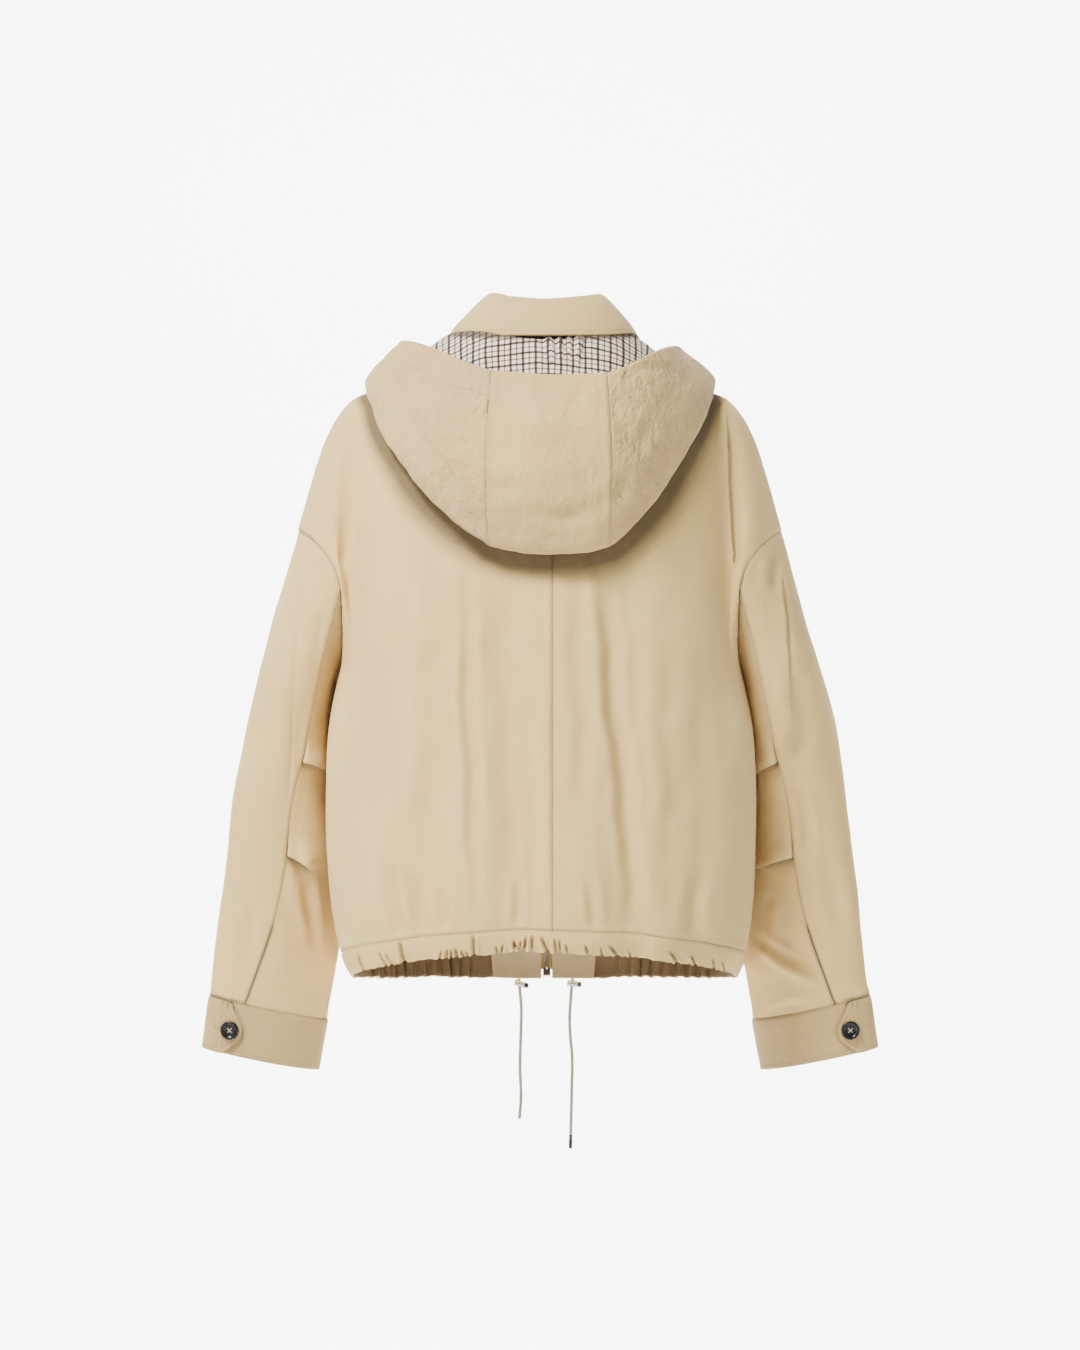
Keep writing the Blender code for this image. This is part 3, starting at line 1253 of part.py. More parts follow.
def make_fall(stand, stand_outs, finish):
    """The part of the collar that turns down: round the top of the stand, then out to its free edge."""
    rows = [[] for _ in range(4 + len(FALL_SHARES))]
    angles = [neck_angle(foot) for foot in stand[0]]
    kept = [c for c, angle in enumerate(angles) if abs(angle) <= COLLAR_EDGE["angle"][-1]]
    for c in kept:
        top, below, out = stand[-1][c], stand[-2][c], stand_outs[-1][c]
        rise = unit(top - below)
        middle = top + out * (ROLL_RADIUS - COLLAR) + rise * SEAM_GAP
        for i, turn in enumerate((0, 60, 120, 165)):
            a = math.radians(turn)
            rows[i].append(middle + (rise * math.sin(a) - out * math.cos(a)) * ROLL_RADIUS)
        start = rows[3][-1]
        x, y, height = read(COLLAR_EDGE, abs(angles[c]), "x", "y", "height")
        edge = np.array([math.copysign(x, angles[c]) + COLLAR_LEAN * 0.4, y, height])
        for i, share in enumerate(FALL_SHARES):
            rows[4 + i].append(start + (edge - start) * share + out * 0.004 * math.sin(share * math.pi))
    outs = softened([[-n for n in line] for line in grid_outs(rows)], 1)
    outs[0] = [-stand_outs[-1][c] for c in kept]
    wall("collar_fall", rows, moved_in(rows, outs, COLLAR), finish)


# ---------------------------------------------------------------- run


def main():
    clear_scene()
    shell = material("cotton_shell", (0.66, 0.56, 0.42), 0.85)
    check = material("check_lining", (0.80, 0.74, 0.66), 0.85)
    horn = material("dark_button", (0.02, 0.02, 0.02), 0.25)
    tape = material("zip_tape", (0.60, 0.52, 0.41), 0.8)
    metal = material("pale_metal", (0.75, 0.72, 0.66), 0.3, 1.0)
    dark = material("dark_metal", (0.10, 0.09, 0.08), 0.35, 0.8)
    cord = material("cord", (0.62, 0.54, 0.44), 0.8)
    grids, arm_outs = make_body(shell)
    for hand in ("left", "right"):
        make_sleeve(hand, grids, arm_outs, shell)
    make_cuffs(shell)
    make_buttons(horn)
    fronts = make_casings(grids, shell)
    make_facings(grids, fronts, shell)
    line = zip_line(grids, fronts)
    make_tapes(line, tape)
    make_zip_box(line, metal)
    make_slider(line, metal)
    make_cords(fronts, cord, metal, dark)
    make_hood(grids, shell, check)
    stand, stand_outs = make_stand(grids, shell)
    make_fall(stand, stand_outs, shell)


main()
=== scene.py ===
# %% [markdown]
# # A cropped, hooded zip jacket
#
# The jacket is beige cotton, seen from behind, filled out as if someone wore it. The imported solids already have
# its true sizes: this notebook dresses them. Each piece of cloth becomes a fine shell with its creases, seams and
# stitching, and the zip, buttons and cords get the small parts that the solids leave out.

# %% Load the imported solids
import math

import bmesh
import bpy
import numpy as np
from mathutils import Matrix, Vector, noise
from mathutils.bvhtree import BVHTree
from mathutils.kdtree import KDTree


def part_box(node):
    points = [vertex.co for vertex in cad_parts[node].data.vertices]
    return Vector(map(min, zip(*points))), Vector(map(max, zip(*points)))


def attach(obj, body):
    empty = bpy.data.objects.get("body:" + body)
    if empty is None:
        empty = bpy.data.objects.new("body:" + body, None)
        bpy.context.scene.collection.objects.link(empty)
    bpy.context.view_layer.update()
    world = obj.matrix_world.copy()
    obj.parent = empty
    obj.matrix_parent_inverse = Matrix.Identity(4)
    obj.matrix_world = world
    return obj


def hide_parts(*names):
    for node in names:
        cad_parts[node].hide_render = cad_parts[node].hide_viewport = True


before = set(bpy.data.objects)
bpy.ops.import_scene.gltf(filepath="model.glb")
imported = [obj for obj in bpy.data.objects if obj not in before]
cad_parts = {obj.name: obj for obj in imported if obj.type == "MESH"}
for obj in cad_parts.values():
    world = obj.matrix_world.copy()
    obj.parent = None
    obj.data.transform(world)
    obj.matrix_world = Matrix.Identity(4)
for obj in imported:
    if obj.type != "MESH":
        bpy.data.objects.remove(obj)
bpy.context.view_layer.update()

JACKET = "jacket"

# %% [markdown]
# ## Camera
#
# The picture was taken level, straight at the back, from far enough away that nothing looks stretched. A long lens
# five and a half metres off gives the same view.

# %% The camera
EYE = Vector((0.0, 5.50, -0.303))
BACK_Y = 0.08  # the back of the jacket
PICTURE_WIDTH = 1.026  # metres across at the back

bpy.ops.object.camera_add(location=EYE, rotation=(math.pi / 2, 0, math.pi))
camera = bpy.context.object
camera.data.sensor_fit = "HORIZONTAL"
camera.data.sensor_width = 36
camera.data.lens = 36 * (EYE.y - BACK_Y) / PICTURE_WIDTH
camera.data.clip_end = 50
bpy.context.scene.camera = camera
print("lens", round(camera.data.lens, 1), "mm")

# %% [markdown]
# ## Small helpers
#
# An operator works on whatever is selected, so each step first clears the selection. A finished piece keeps its
# place in its mesh, and its object stays at the origin.


# %% Selecting and finishing
def only(piece):
    """Makes this piece the one that operators work on."""
    if bpy.context.object and bpy.context.object.mode != "OBJECT":
        bpy.ops.object.mode_set(mode="OBJECT")
    bpy.ops.object.select_all(action="DESELECT")
    piece.select_set(True)
    bpy.context.view_layer.objects.active = piece
    return piece


def settle(piece):
    """Puts the piece's place, turn and size into its mesh."""
    only(piece)
    bpy.ops.object.transform_apply(location=True, rotation=True, scale=True)
    return piece


def apply_all(piece):
    only(piece)
    for change in list(piece.modifiers):
        bpy.ops.object.modifier_apply(modifier=change.name)
    return piece


def vectors_of(piece, what="co"):
    found = np.empty(len(piece.data.vertices) * 3)
    piece.data.vertices.foreach_get(what, found)
    return found.reshape(-1, 3)


def place_points(piece, points):
    piece.data.vertices.foreach_set("co", points.ravel())
    piece.data.update()


def soft_step(values, low, high):
    t = np.clip((values - low) / (high - low), 0, 1)
    return t * t * (3 - 2 * t)


def tree_of(points):
    tree = KDTree(len(points))
    for n, point in enumerate(points):
        tree.insert(point, n)
    tree.balance()
    return tree


def add_map(piece, name, values):
    """A UV map from one pair of values for each vertex."""
    layer = piece.data.uv_layers.new(name=name)
    corners = np.empty(len(piece.data.loops), dtype=int)
    piece.data.loops.foreach_get("vertex_index", corners)
    layer.data.foreach_set("uv", np.asarray(values)[corners].ravel())


# %% Node helpers
def new_group(name, inputs, outputs):
    """An empty node group: its inputs as (name, kind, value), its outputs by name."""
    group = bpy.data.node_groups.new(name, "ShaderNodeTree")
    for label, kind, value in inputs:
        socket = group.interface.new_socket(name=label, in_out="INPUT", socket_type="NodeSocket" + kind)
        if value is not None:
            socket.default_value = value
    for label in outputs:
        group.interface.new_socket(name=label, in_out="OUTPUT", socket_type="NodeSocketFloat")
    return group, group.nodes.new("NodeGroupInput").outputs, group.nodes.new("NodeGroupOutput").inputs


def feed(tree, socket, value):
    """Links a socket to another, or sets its value."""
    if isinstance(value, bpy.types.NodeSocket):
        tree.links.new(value, socket)
    elif isinstance(value, tuple) and len(value) == 3 and socket.type == "RGBA":
        socket.default_value = (*value, 1)
    else:
        socket.default_value = value


def maths(tree, kind, *values, clamp=False):
    node = tree.nodes.new("ShaderNodeMath")
    node.operation = kind
    node.use_clamp = clamp
    for socket, value in zip(node.inputs, values):
        feed(tree, socket, value)
    return node.outputs[0]


def split(tree, vector):
    node = tree.nodes.new("ShaderNodeSeparateXYZ")
    tree.links.new(vector, node.inputs[0])
    return node.outputs[0], node.outputs[1]


def noise_at(tree, vector, scale, detail=2.0, roughness=0.5, stretch=None):
    if stretch is not None:
        mapping = tree.nodes.new("ShaderNodeMapping")
        mapping.inputs["Scale"].default_value = stretch
        tree.links.new(vector, mapping.inputs["Vector"])
        vector = mapping.outputs["Vector"]
    node = tree.nodes.new("ShaderNodeTexNoise")
    for name, value in (("Scale", scale), ("Detail", detail), ("Roughness", roughness)):
        node.inputs[name].default_value = value
    tree.links.new(vector, node.inputs["Vector"])
    return node.outputs["Fac"]


def blend(tree, share, a, b):
    node = tree.nodes.new("ShaderNodeMix")
    node.data_type = "RGBA"
    for socket, value in ((node.inputs[0], share), (node.inputs[6], a), (node.inputs[7], b)):
        feed(tree, socket, value)
    return node.outputs[2]


def use_group(tree, group, **values):
    node = tree.nodes.new("ShaderNodeGroup")
    node.node_tree = group
    for name, value in values.items():
        feed(tree, node.inputs[name], value)
    return node.outputs


def bump(tree, height, distance, under=None, strength=1.0):
    node = tree.nodes.new("ShaderNodeBump")
    node.inputs["Distance"].default_value = distance
    node.inputs["Strength"].default_value = strength
    tree.links.new(height, node.inputs["Height"])
    if under is not None:
        tree.links.new(under, node.inputs["Normal"])
    return node.outputs["Normal"]


def map_socket(tree, name):
    node = tree.nodes.new("ShaderNodeUVMap")
    node.uv_map = name
    return node.outputs["UV"]


def number_map(tree, name):
    """One number for each point of the mesh, as it was stored there."""
    attribute = tree.nodes.new("ShaderNodeAttribute")
    attribute.attribute_name = name
    return attribute.outputs["Fac"]


def new_material(name, **settings):
    """A material with its tree, its shader and the object's own coordinates."""
    made = bpy.data.materials.new(name)
    made.use_nodes = True
    tree = made.node_tree
    shader = tree.nodes["Principled BSDF"]
    for label, value in settings.items():
        feed(tree, shader.inputs[label.replace("_", " ")], value)
    return made, tree, shader, tree.nodes.new("ShaderNodeTexCoord").outputs["Object"]


# %% [markdown]
# ## Drawcord ends
#
# Two ends of a round braided cord hang below the front hem. The left one is cut off bare and the right one has a
# dark metal tip. A braid is a tube, so each is a curve with a round section, turned into a mesh and given its own
# map: along the cord, and round it.

# %% Cord routes
CORD_RADIUS = 0.00165
CORD_POINTS = {
    "left": (
        (0.0215, -0.1219, -0.5905), (0.0211, -0.1234, -0.5985), (0.0204, -0.1235, -0.6068),
        (0.0197, -0.1233, -0.6152), (0.0189, -0.1230, -0.6235), (0.0184, -0.1227, -0.6318),
        (0.0184, -0.1223, -0.6402), (0.0187, -0.1221, -0.6485), (0.0189, -0.1221, -0.6569),
        (0.0192, -0.1222, -0.6653), (0.0194, -0.1223, -0.6736), (0.0196, -0.1224, -0.6820),
        (0.0197, -0.1225, -0.6903), (0.0194, -0.1227, -0.6987), (0.0190, -0.1228, -0.7070),
        (0.0187, -0.1229, -0.7154), (0.0189, -0.1229, -0.7237), (0.0196, -0.1228, -0.7321),
        (0.0203, -0.1227, -0.7404),
    ),
    "right": (
        (-0.0330, -0.1216, -0.5895), (-0.0328, -0.1231, -0.5975), (-0.0318, -0.1232, -0.6058),
        (-0.0310, -0.1231, -0.6140), (-0.0303, -0.1230, -0.6223), (-0.0297, -0.1228, -0.6306),
        (-0.0292, -0.1226, -0.6390), (-0.0292, -0.1224, -0.6473), (-0.0297, -0.1222, -0.6556),
        (-0.0303, -0.1221, -0.6639), (-0.0312, -0.1220, -0.6722), (-0.0318, -0.1220, -0.6805),
        (-0.0319, -0.1221, -0.6888), (-0.0317, -0.1223, -0.6971), (-0.0314, -0.1224, -0.7055),
        (-0.0312, -0.1225, -0.7138), (-0.0311, -0.1225, -0.7221), (-0.0309, -0.1225, -0.7304),
        (-0.0307, -0.1224, -0.7388), (-0.0305, -0.1224, -0.7471), (-0.0303, -0.1224, -0.7554),
    ),
}


def run_of(points):
    return sum((Vector(b) - Vector(a)).length for a, b in zip(points, points[1:]))


def map_tube(piece, path):
    """A map for a thin, nearly upright tube: metres along its path, and metres round it."""
    line = np.array(path)
    at = np.concatenate([[0], np.cumsum(np.linalg.norm(np.diff(line, axis=0), axis=1))])
    down = -line[:, 2]
    layer = piece.data.uv_layers.new(name="tube")
    for face in piece.data.polygons:
        turns = []
        for vertex in face.vertices:
            x, y, z = piece.data.vertices[vertex].co
            turns.append(math.atan2(y - np.interp(-z, down, line[:, 1]), x - np.interp(-z, down, line[:, 0])))
        for corner, vertex, turn in zip(face.loop_indices, face.vertices, turns):
            turn += 2 * math.pi * round((turns[0] - turn) / (2 * math.pi))
            along = np.interp(-piece.data.vertices[vertex].co.z, down, at)
            layer.data[corner].uv = (along, turn * CORD_RADIUS)


def make_cord(hand):
    points = CORD_POINTS[hand]
    bpy.ops.curve.primitive_bezier_curve_add()
    piece = bpy.context.object
    piece.name = "braid_" + hand
    piece.data.splines.clear()
    line = piece.data.splines.new("POLY")
    line.points.add(len(points) - 1)
    for knot, point in zip(line.points, points):
        knot.co = (*point, 1)
    piece.data.dimensions = "3D"
    piece.data.bevel_depth = CORD_RADIUS
    piece.data.bevel_resolution = 5
    piece.data.use_fill_caps = True
    only(piece)
    bpy.ops.object.convert(target="MESH")
    bpy.ops.object.shade_smooth_by_angle(angle=math.radians(50))
    for layer in list(piece.data.uv_layers):
        piece.data.uv_layers.remove(layer)
    map_tube(piece, points)
    return piece


CORDS = {hand: make_cord(hand) for hand in CORD_POINTS}
for hand, piece in CORDS.items():
    print("cord", hand, round(run_of(CORD_POINTS[hand]), 4), "m,", len(piece.data.polygons), "faces")


# %% Braid
def braid_group():
    """Two sets of strands that wind round the cord in opposite ways and cross over and under."""
    group, given, out = new_group("braid", [("Tube", "Vector", None), ("Pitch", "Float", 0.0034)], ["Height", "Gap"])
    along, around = split(group, given["Tube"])
    way = maths(group, "DIVIDE", along, given["Pitch"])
    turn = maths(group, "DIVIDE", around, 2 * math.pi * CORD_RADIUS / 4)
    strands = []
    for kind in ("ADD", "SUBTRACT"):
        wave = maths(group, "SINE", maths(group, "MULTIPLY", maths(group, kind, way, turn), math.pi))
        strands.append(maths(group, "ABSOLUTE", wave))
    height = maths(group, "MAXIMUM", *strands)
    group.links.new(height, out["Height"])
    group.links.new(maths(group, "SUBTRACT", 1.0, height, clamp=True), out["Gap"])
    return group


def cord_material():
    made, tree, shader, place = new_material("braided_cord", Roughness=0.85, Specular_IOR_Level=0.25)
    strands = use_group(tree, braid_group(), Tube=map_socket(tree, "tube"))
    worn = noise_at(tree, place, 60.0, 3.0)
    colour = blend(tree, worn, (0.50, 0.40, 0.27), (0.62, 0.52, 0.38))
    # Painted shade in the gaps between the strands.
    colour = blend(tree, maths(tree, "MULTIPLY", strands["Gap"], 1.6, clamp=True), colour, (0.26, 0.20, 0.13))
    tree.links.new(colour, shader.inputs["Base Color"])
    tree.links.new(bump(tree, strands["Height"], 0.0005), shader.inputs["Normal"])
    return made


BRAID = cord_material()
for piece in CORDS.values():
    piece.data.materials.append(BRAID)

# %% [markdown]
# ## From a solid wall to a fine skin
#
# Each cloth solid is a thin wall: an outer side, an inner side and a narrow rim between them. For cloth only the
# outer side is needed, because the inner side follows from it. The narrow rim faces are deleted, which leaves two
# loose sheets, and the one that faces outwards is kept. Subdividing that sheet rounds it, and a Solidify modifier
# later gives it back its thickness.

# %% Keeping the outer side
RIM_WIDTH = 0.0027  # rim faces are narrower than this


def outer_side(mesh, middle):
    """Deletes the rim and the inner side of a wall, the side that faces its middle."""
    shape = bmesh.from_edit_mesh(mesh)
    rim = [f for f in shape.faces if min(e.calc_length() for e in f.edges) < RIM_WIDTH]
    bmesh.ops.delete(shape, geom=rim, context="FACES")
    middle = middle or sum((f.calc_center_median() for f in shape.faces), Vector()) / len(shape.faces)
    unseen, sheets = set(shape.faces), []
    while unseen:
        sheet, waiting = [], [unseen.pop()]
        while waiting:
            face = waiting.pop()
            sheet.append(face)
            for edge in face.edges:
                for other in edge.link_faces:
                    if other in unseen:
                        unseen.remove(other)
                        waiting.append(other)
        facing = sum(f.calc_area() * f.normal.dot(f.calc_center_median() - middle) for f in sheet)
        sheets.append((facing, sheet))
    kept = set(max(sheets, key=lambda entry: entry[0])[1])
    bmesh.ops.delete(shape, geom=[f for f in shape.faces if f not in kept], context="FACES")
    bmesh.update_edit_mesh(mesh)


def copy_of(node):
    """The node's own wall as a new piece, with its loose triangles merged into quads."""
    piece = bpy.data.objects.new("cloth_" + node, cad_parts[node].data.copy())
    bpy.context.scene.collection.objects.link(piece)
    piece.data.materials.clear()
    for layer in list(piece.data.uv_layers):
        piece.data.uv_layers.remove(layer)
    only(piece)
    bpy.ops.object.mode_set(mode="EDIT")
    bpy.ops.mesh.select_all(action="SELECT")
    bpy.ops.mesh.customdata_custom_splitnormals_clear()
    bpy.ops.mesh.remove_doubles(threshold=2e-5)
    bpy.ops.mesh.tris_convert_to_quads(face_threshold=math.pi, shape_threshold=math.pi)
    return piece


def skin_of(node, levels, finer_below=None):
    """A smooth outer skin of one cloth solid. Below a height it can be made finer still, for its gathers."""
    piece = copy_of(node)
    middle = sum(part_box(node.replace("under", "top")), Vector()) / 2 if "under" in node else None
    outer_side(piece.data, middle)
    bpy.ops.object.mode_set(mode="OBJECT")
    finer = piece.modifiers.new("finer", "SUBSURF")
    finer.levels = finer.render_levels = levels
    finer.boundary_smooth = "PRESERVE_CORNERS"
    apply_all(piece)
    if finer_below is not None:
        bpy.ops.object.mode_set(mode="EDIT")
        bpy.ops.mesh.select_mode(type="FACE")
        bpy.ops.mesh.select_all(action="DESELECT")
        shape = bmesh.from_edit_mesh(piece.data)
        for face in shape.faces:
            face.select_set(face.calc_center_median().z < finer_below)
        bmesh.update_edit_mesh(piece.data)
        bpy.ops.mesh.subdivide(number_cuts=1, quadcorner="INNERVERT")
        bpy.ops.object.mode_set(mode="OBJECT")
    bpy.ops.object.shade_smooth()
    return piece


# %% The pieces, with the width, length and area that each was cut to
BACK = {"levels": 3, "finish": "body", "held": "hung", "finer_below": -0.505}
FRONT = {"levels": 3, "finish": "body", "held": "hung", "finer_below": -0.545}
PIECES = {
    "back_left": {**BACK, "cut": (0.33, 0.66, 0.158)},
    "back_right": {**BACK, "cut": (0.31, 0.66, 0.146)},
    "front_left": {**FRONT, "cut": (0.33, 0.64, 0.147)},
    "front_right": {**FRONT, "cut": (0.32, 0.64, 0.141)},
    "top_sleeve_left": {"levels": 3, "finish": "body", "held": "hung", "cut": (0.32, 0.53, 0.103)},
    "top_sleeve_right": {"levels": 3, "finish": "body", "held": "hung", "cut": (0.32, 0.53, 0.103)},
    "under_sleeve_left": {"levels": 4, "finish": "body", "held": "hung", "cut": (0.10, 0.46, 0.026)},
    "under_sleeve_right": {"levels": 4, "finish": "body", "held": "hung", "cut": (0.10, 0.46, 0.026)},
    "cuff_left": {"levels": 3, "finish": "cuff", "held": "folded", "cut": (0.35, 0.054, 0.017)},
    "cuff_right": {"levels": 3, "finish": "cuff", "held": "folded", "cut": (0.35, 0.054, 0.017)},
    "casing_back": {"levels": 3, "finish": "casing", "held": "gathered", "cut": (0.56, 0.050, 0.0160)},
    "casing_front_left": {"levels": 3, "finish": "casing", "held": "gathered", "cut": (0.28, 0.050, 0.0078)},
    "casing_front_right": {"levels": 3, "finish": "casing", "held": "gathered", "cut": (0.28, 0.050, 0.0078)},
    "hood_left": {"levels": 3, "finish": "hood", "held": "hung", "cut": (0.33, 0.42, 0.068)},
    "hood_middle": {"levels": 3, "finish": "hood_middle", "held": "hung", "cut": (0.13, 0.42, 0.044)},
    "hood_right": {"levels": 3, "finish": "hood", "held": "hung", "cut": (0.33, 0.42, 0.065)},
    "hood_lining": {"levels": 3, "finish": "lining", "held": "hung", "cut": (0.54, 0.42, 0.125)},
    "collar_stand": {"levels": 3, "finish": "stand", "held": "folded", "cut": (0.48, 0.065, 0.0235)},
    "collar_fall": {"levels": 3, "finish": "collar", "held": "folded", "cut": (0.58, 0.095, 0.030)},
}
SKINS = {node: skin_of(node, made["levels"], made.get("finer_below")) for node, made in PIECES.items()}
print("skins:", sum(len(s.data.polygons) for s in SKINS.values()), "faces")

# %% [markdown]
# ## Creases
#
# Cotton that hangs filled out keeps soft, uneven troughs with a low ridge beside them. Each crease is written down
# as a line across the back or front, in metres, with a width and a depth, and the skin's points near the line are
# moved in. A slow wander along the line keeps it from looking ruled. A fold line is sharper: the cloth steps down on
# its far side. On top of that, the whole cloth is a little uneven.

# %% The creases
# Each is: side (1 behind, -1 in front), width, depth, and the points (across, up) that it runs through. First come
# those of the back and the fronts.
CREASES = (
    (1, 0.0110, 0.0040, ((0.0945, -0.140), (0.0965, -0.300), (0.1030, -0.420), (0.1045, -0.520))),
    (1, 0.0055, 0.0042, ((0.0690, -0.190), (0.0690, -0.300), (0.0640, -0.400), (0.0600, -0.540))),
    (1, 0.0120, 0.0036, ((0.0380, -0.190), (0.0330, -0.300), (0.0270, -0.420), (0.0300, -0.530))),
    (1, 0.0060, 0.0026, ((0.0100, -0.300), (0.0070, -0.420), (0.0050, -0.545))),
    (1, 0.0070, 0.0050, ((-0.0570, -0.180), (-0.0700, -0.330), (-0.0840, -0.450), (-0.0890, -0.545))),
    (1, 0.0080, 0.0024, ((-0.0330, -0.190), (-0.0380, -0.330), (-0.0430, -0.450))),
    (1, 0.0100, 0.0026, ((-0.1180, -0.240), (-0.1250, -0.420), (-0.1220, -0.550))),
    (1, 0.0060, 0.0036, ((0.1460, -0.474), (0.1380, -0.515), (0.1300, -0.558))),
    (1, 0.0055, 0.0030, ((0.1230, -0.490), (0.1110, -0.548))),
    (1, 0.0050, 0.0030, ((0.0930, -0.500), (0.0860, -0.545))),
    (1, 0.0045, 0.0030, ((0.0230, -0.490), (0.0180, -0.545))),
    (1, 0.0050, 0.0026, ((-0.0450, -0.490), (-0.0520, -0.548))),
    (1, 0.0070, 0.0030, ((-0.1500, -0.490), (-0.1420, -0.560))),
    (-1, 0.0100, 0.0036, ((0.0700, -0.160), (0.0660, -0.360), (0.0600, -0.570))),
    (-1, 0.0110, 0.0030, ((0.1180, -0.260), (0.1120, -0.420), (0.1060, -0.570))),
    (-1, 0.0070, 0.0026, ((0.0300, -0.400), (0.0340, -0.570))),
    (-1, 0.0100, 0.0038, ((-0.0780, -0.160), (-0.0840, -0.360), (-0.0860, -0.570))),
    (-1, 0.0110, 0.0030, ((-0.1280, -0.240), (-0.1300, -0.420), (-0.1240, -0.570))),
    (-1, 0.0070, 0.0026, ((-0.0340, -0.400), (-0.0380, -0.570))),
    (-1, 0.0080, 0.0030, ((0.1500, -0.120), (0.1650, -0.200), (0.1700, -0.290))),
    (-1, 0.0080, 0.0030, ((-0.1500, -0.120), (-0.1650, -0.200), (-0.1700, -0.290))),
)
SLEEVE_CREASES = (
    (1, 0.0090, 0.0034, ((0.2060, -0.240), (0.2080, -0.290))),
    (1, 0.0060, 0.0030, ((0.2400, -0.455), (0.2330, -0.500), (0.2200, -0.560))),
    (1, 0.0045, 0.0040, ((0.2270, -0.492), (0.2215, -0.530), (0.2200, -0.575))),
    (1, 0.0070, 0.0022, ((0.2860, -0.520), (0.2780, -0.590))),
    (1, 0.0090, 0.0028, ((0.2640, -0.300), (0.2700, -0.380))),
    (1, 0.0090, 0.0036, ((-0.2480, -0.295), (-0.2500, -0.345), (-0.2460, -0.395))),
    (1, 0.0060, 0.0032, ((-0.2300, -0.185), (-0.2240, -0.225))),
    (1, 0.0050, 0.0034, ((-0.2420, -0.405), (-0.2560, -0.440), (-0.2600, -0.480))),
    (1, 0.0045, 0.0046, ((-0.2100, -0.557), (-0.2420, -0.580), (-0.2880, -0.604))),
    (1, 0.0060, 0.0034, ((-0.2250, -0.640), (-0.2450, -0.628), (-0.2650, -0.630))),
    (1, 0.0080, 0.0030, ((-0.2250, -0.545), (-0.2480, -0.575), (-0.2700, -0.585))),
    (1, 0.0070, 0.0026, ((-0.2180, -0.510), (-0.2160, -0.580))),
    (1, 0.0080, 0.0024, ((-0.2780, -0.470), (-0.2900, -0.560))),
    (-1, 0.0090, 0.0036, ((0.2350, -0.260), (0.2480, -0.360), (0.2580, -0.440))),
    (-1, 0.0080, 0.0034, ((0.2200, -0.455), (0.2500, -0.480), (0.2750, -0.485))),
    (-1, 0.0090, 0.0030, ((0.2400, -0.560), (0.2620, -0.620))),
    (-1, 0.0070, 0.0028, ((0.2100, -0.400), (0.2360, -0.430))),
    (-1, 0.0090, 0.0036, ((-0.2350, -0.260), (-0.2480, -0.360), (-0.2580, -0.440))),
    (-1, 0.0080, 0.0034, ((-0.2200, -0.445), (-0.2500, -0.470), (-0.2780, -0.478))),
    (-1, 0.0090, 0.0030, ((-0.2400, -0.560), (-0.2620, -0.620))),
    (-1, 0.0070, 0.0028, ((-0.2100, -0.390), (-0.2360, -0.420))),
)
HOOD_CREASES = (
    (1, 0.0060, 0.0018, ((0.1400, 0.004), (0.1240, -0.060), (0.0980, -0.110))),
    (1, 0.0070, 0.0026, ((0.1180, -0.052), (0.1000, -0.095), (0.0720, -0.140))),
    (1, 0.0050, 0.0016, ((0.1000, -0.030), (0.0620, -0.040), (0.0460, -0.046))),
    (1, 0.0070, 0.0028, ((0.0660, -0.118), (0.0400, -0.128), (0.0120, -0.124))),
    (1, 0.0070, 0.0028, ((0.0640, -0.150), (0.0480, -0.172))),
    (1, 0.0060, 0.0026, ((0.0150, -0.148), (-0.0150, -0.156), (-0.0480, -0.152))),
    (1, 0.0070, 0.0034, ((-0.0500, -0.150), (-0.0680, -0.138), (-0.0820, -0.116))),
    (1, 0.0070, 0.0024, ((-0.0660, -0.060), (-0.0920, -0.090), (-0.1080, -0.060))),
    (1, 0.0060, 0.0018, ((-0.0720, -0.020), (-0.1000, -0.012), (-0.1280, -0.020))),
    (1, 0.0060, 0.0018, ((-0.0400, -0.036), (-0.0300, -0.048))),
    (1, 0.0120, 0.0018, ((0.0200, -0.090), (-0.0200, -0.084), (-0.0500, -0.094))),
)
# The lining's gathers in the neck, which are seen on its inner side.
NECK_GATHERS = (
    (-1, 0.0032, 0.0030, ((-0.0060, 0.020), (-0.0130, -0.014))),
    (-1, 0.0026, 0.0030, ((-0.0170, 0.020), (-0.0200, -0.012))),
    (-1, 0.0026, 0.0030, ((-0.0260, 0.020), (-0.0260, -0.012))),
    (-1, 0.0030, 0.0030, ((-0.0360, 0.020), (-0.0330, -0.014))),
)
# Fold lines: side, how sharp, depth, the way that the cloth steps down (1 to the left, -1 to the right), points.
FOLD_LINES = (
    (1, 0.0110, 0.0042, 1, ((0.1800, -0.052), (0.1800, -0.118), (0.1820, -0.165), (0.1860, -0.212))),
    (1, 0.0110, 0.0042, -1, ((-0.1790, -0.052), (-0.1800, -0.118), (-0.1820, -0.165), (-0.1870, -0.212))),
)
SLEEVE_FOLD_LINES = (
    (1, 0.0030, 0.0026, 1, ((0.2250, -0.196), (0.2290, -0.240), (0.2340, -0.301), (0.2380, -0.384), (0.2400, -0.436))),
    (1, 0.0026, 0.0018, 1, ((0.2850, -0.405), (0.3010, -0.480), (0.3100, -0.560))),
    (1, 0.0030, 0.0022, -1, ((-0.2320, -0.200), (-0.2380, -0.280), (-0.2420, -0.350))),
)


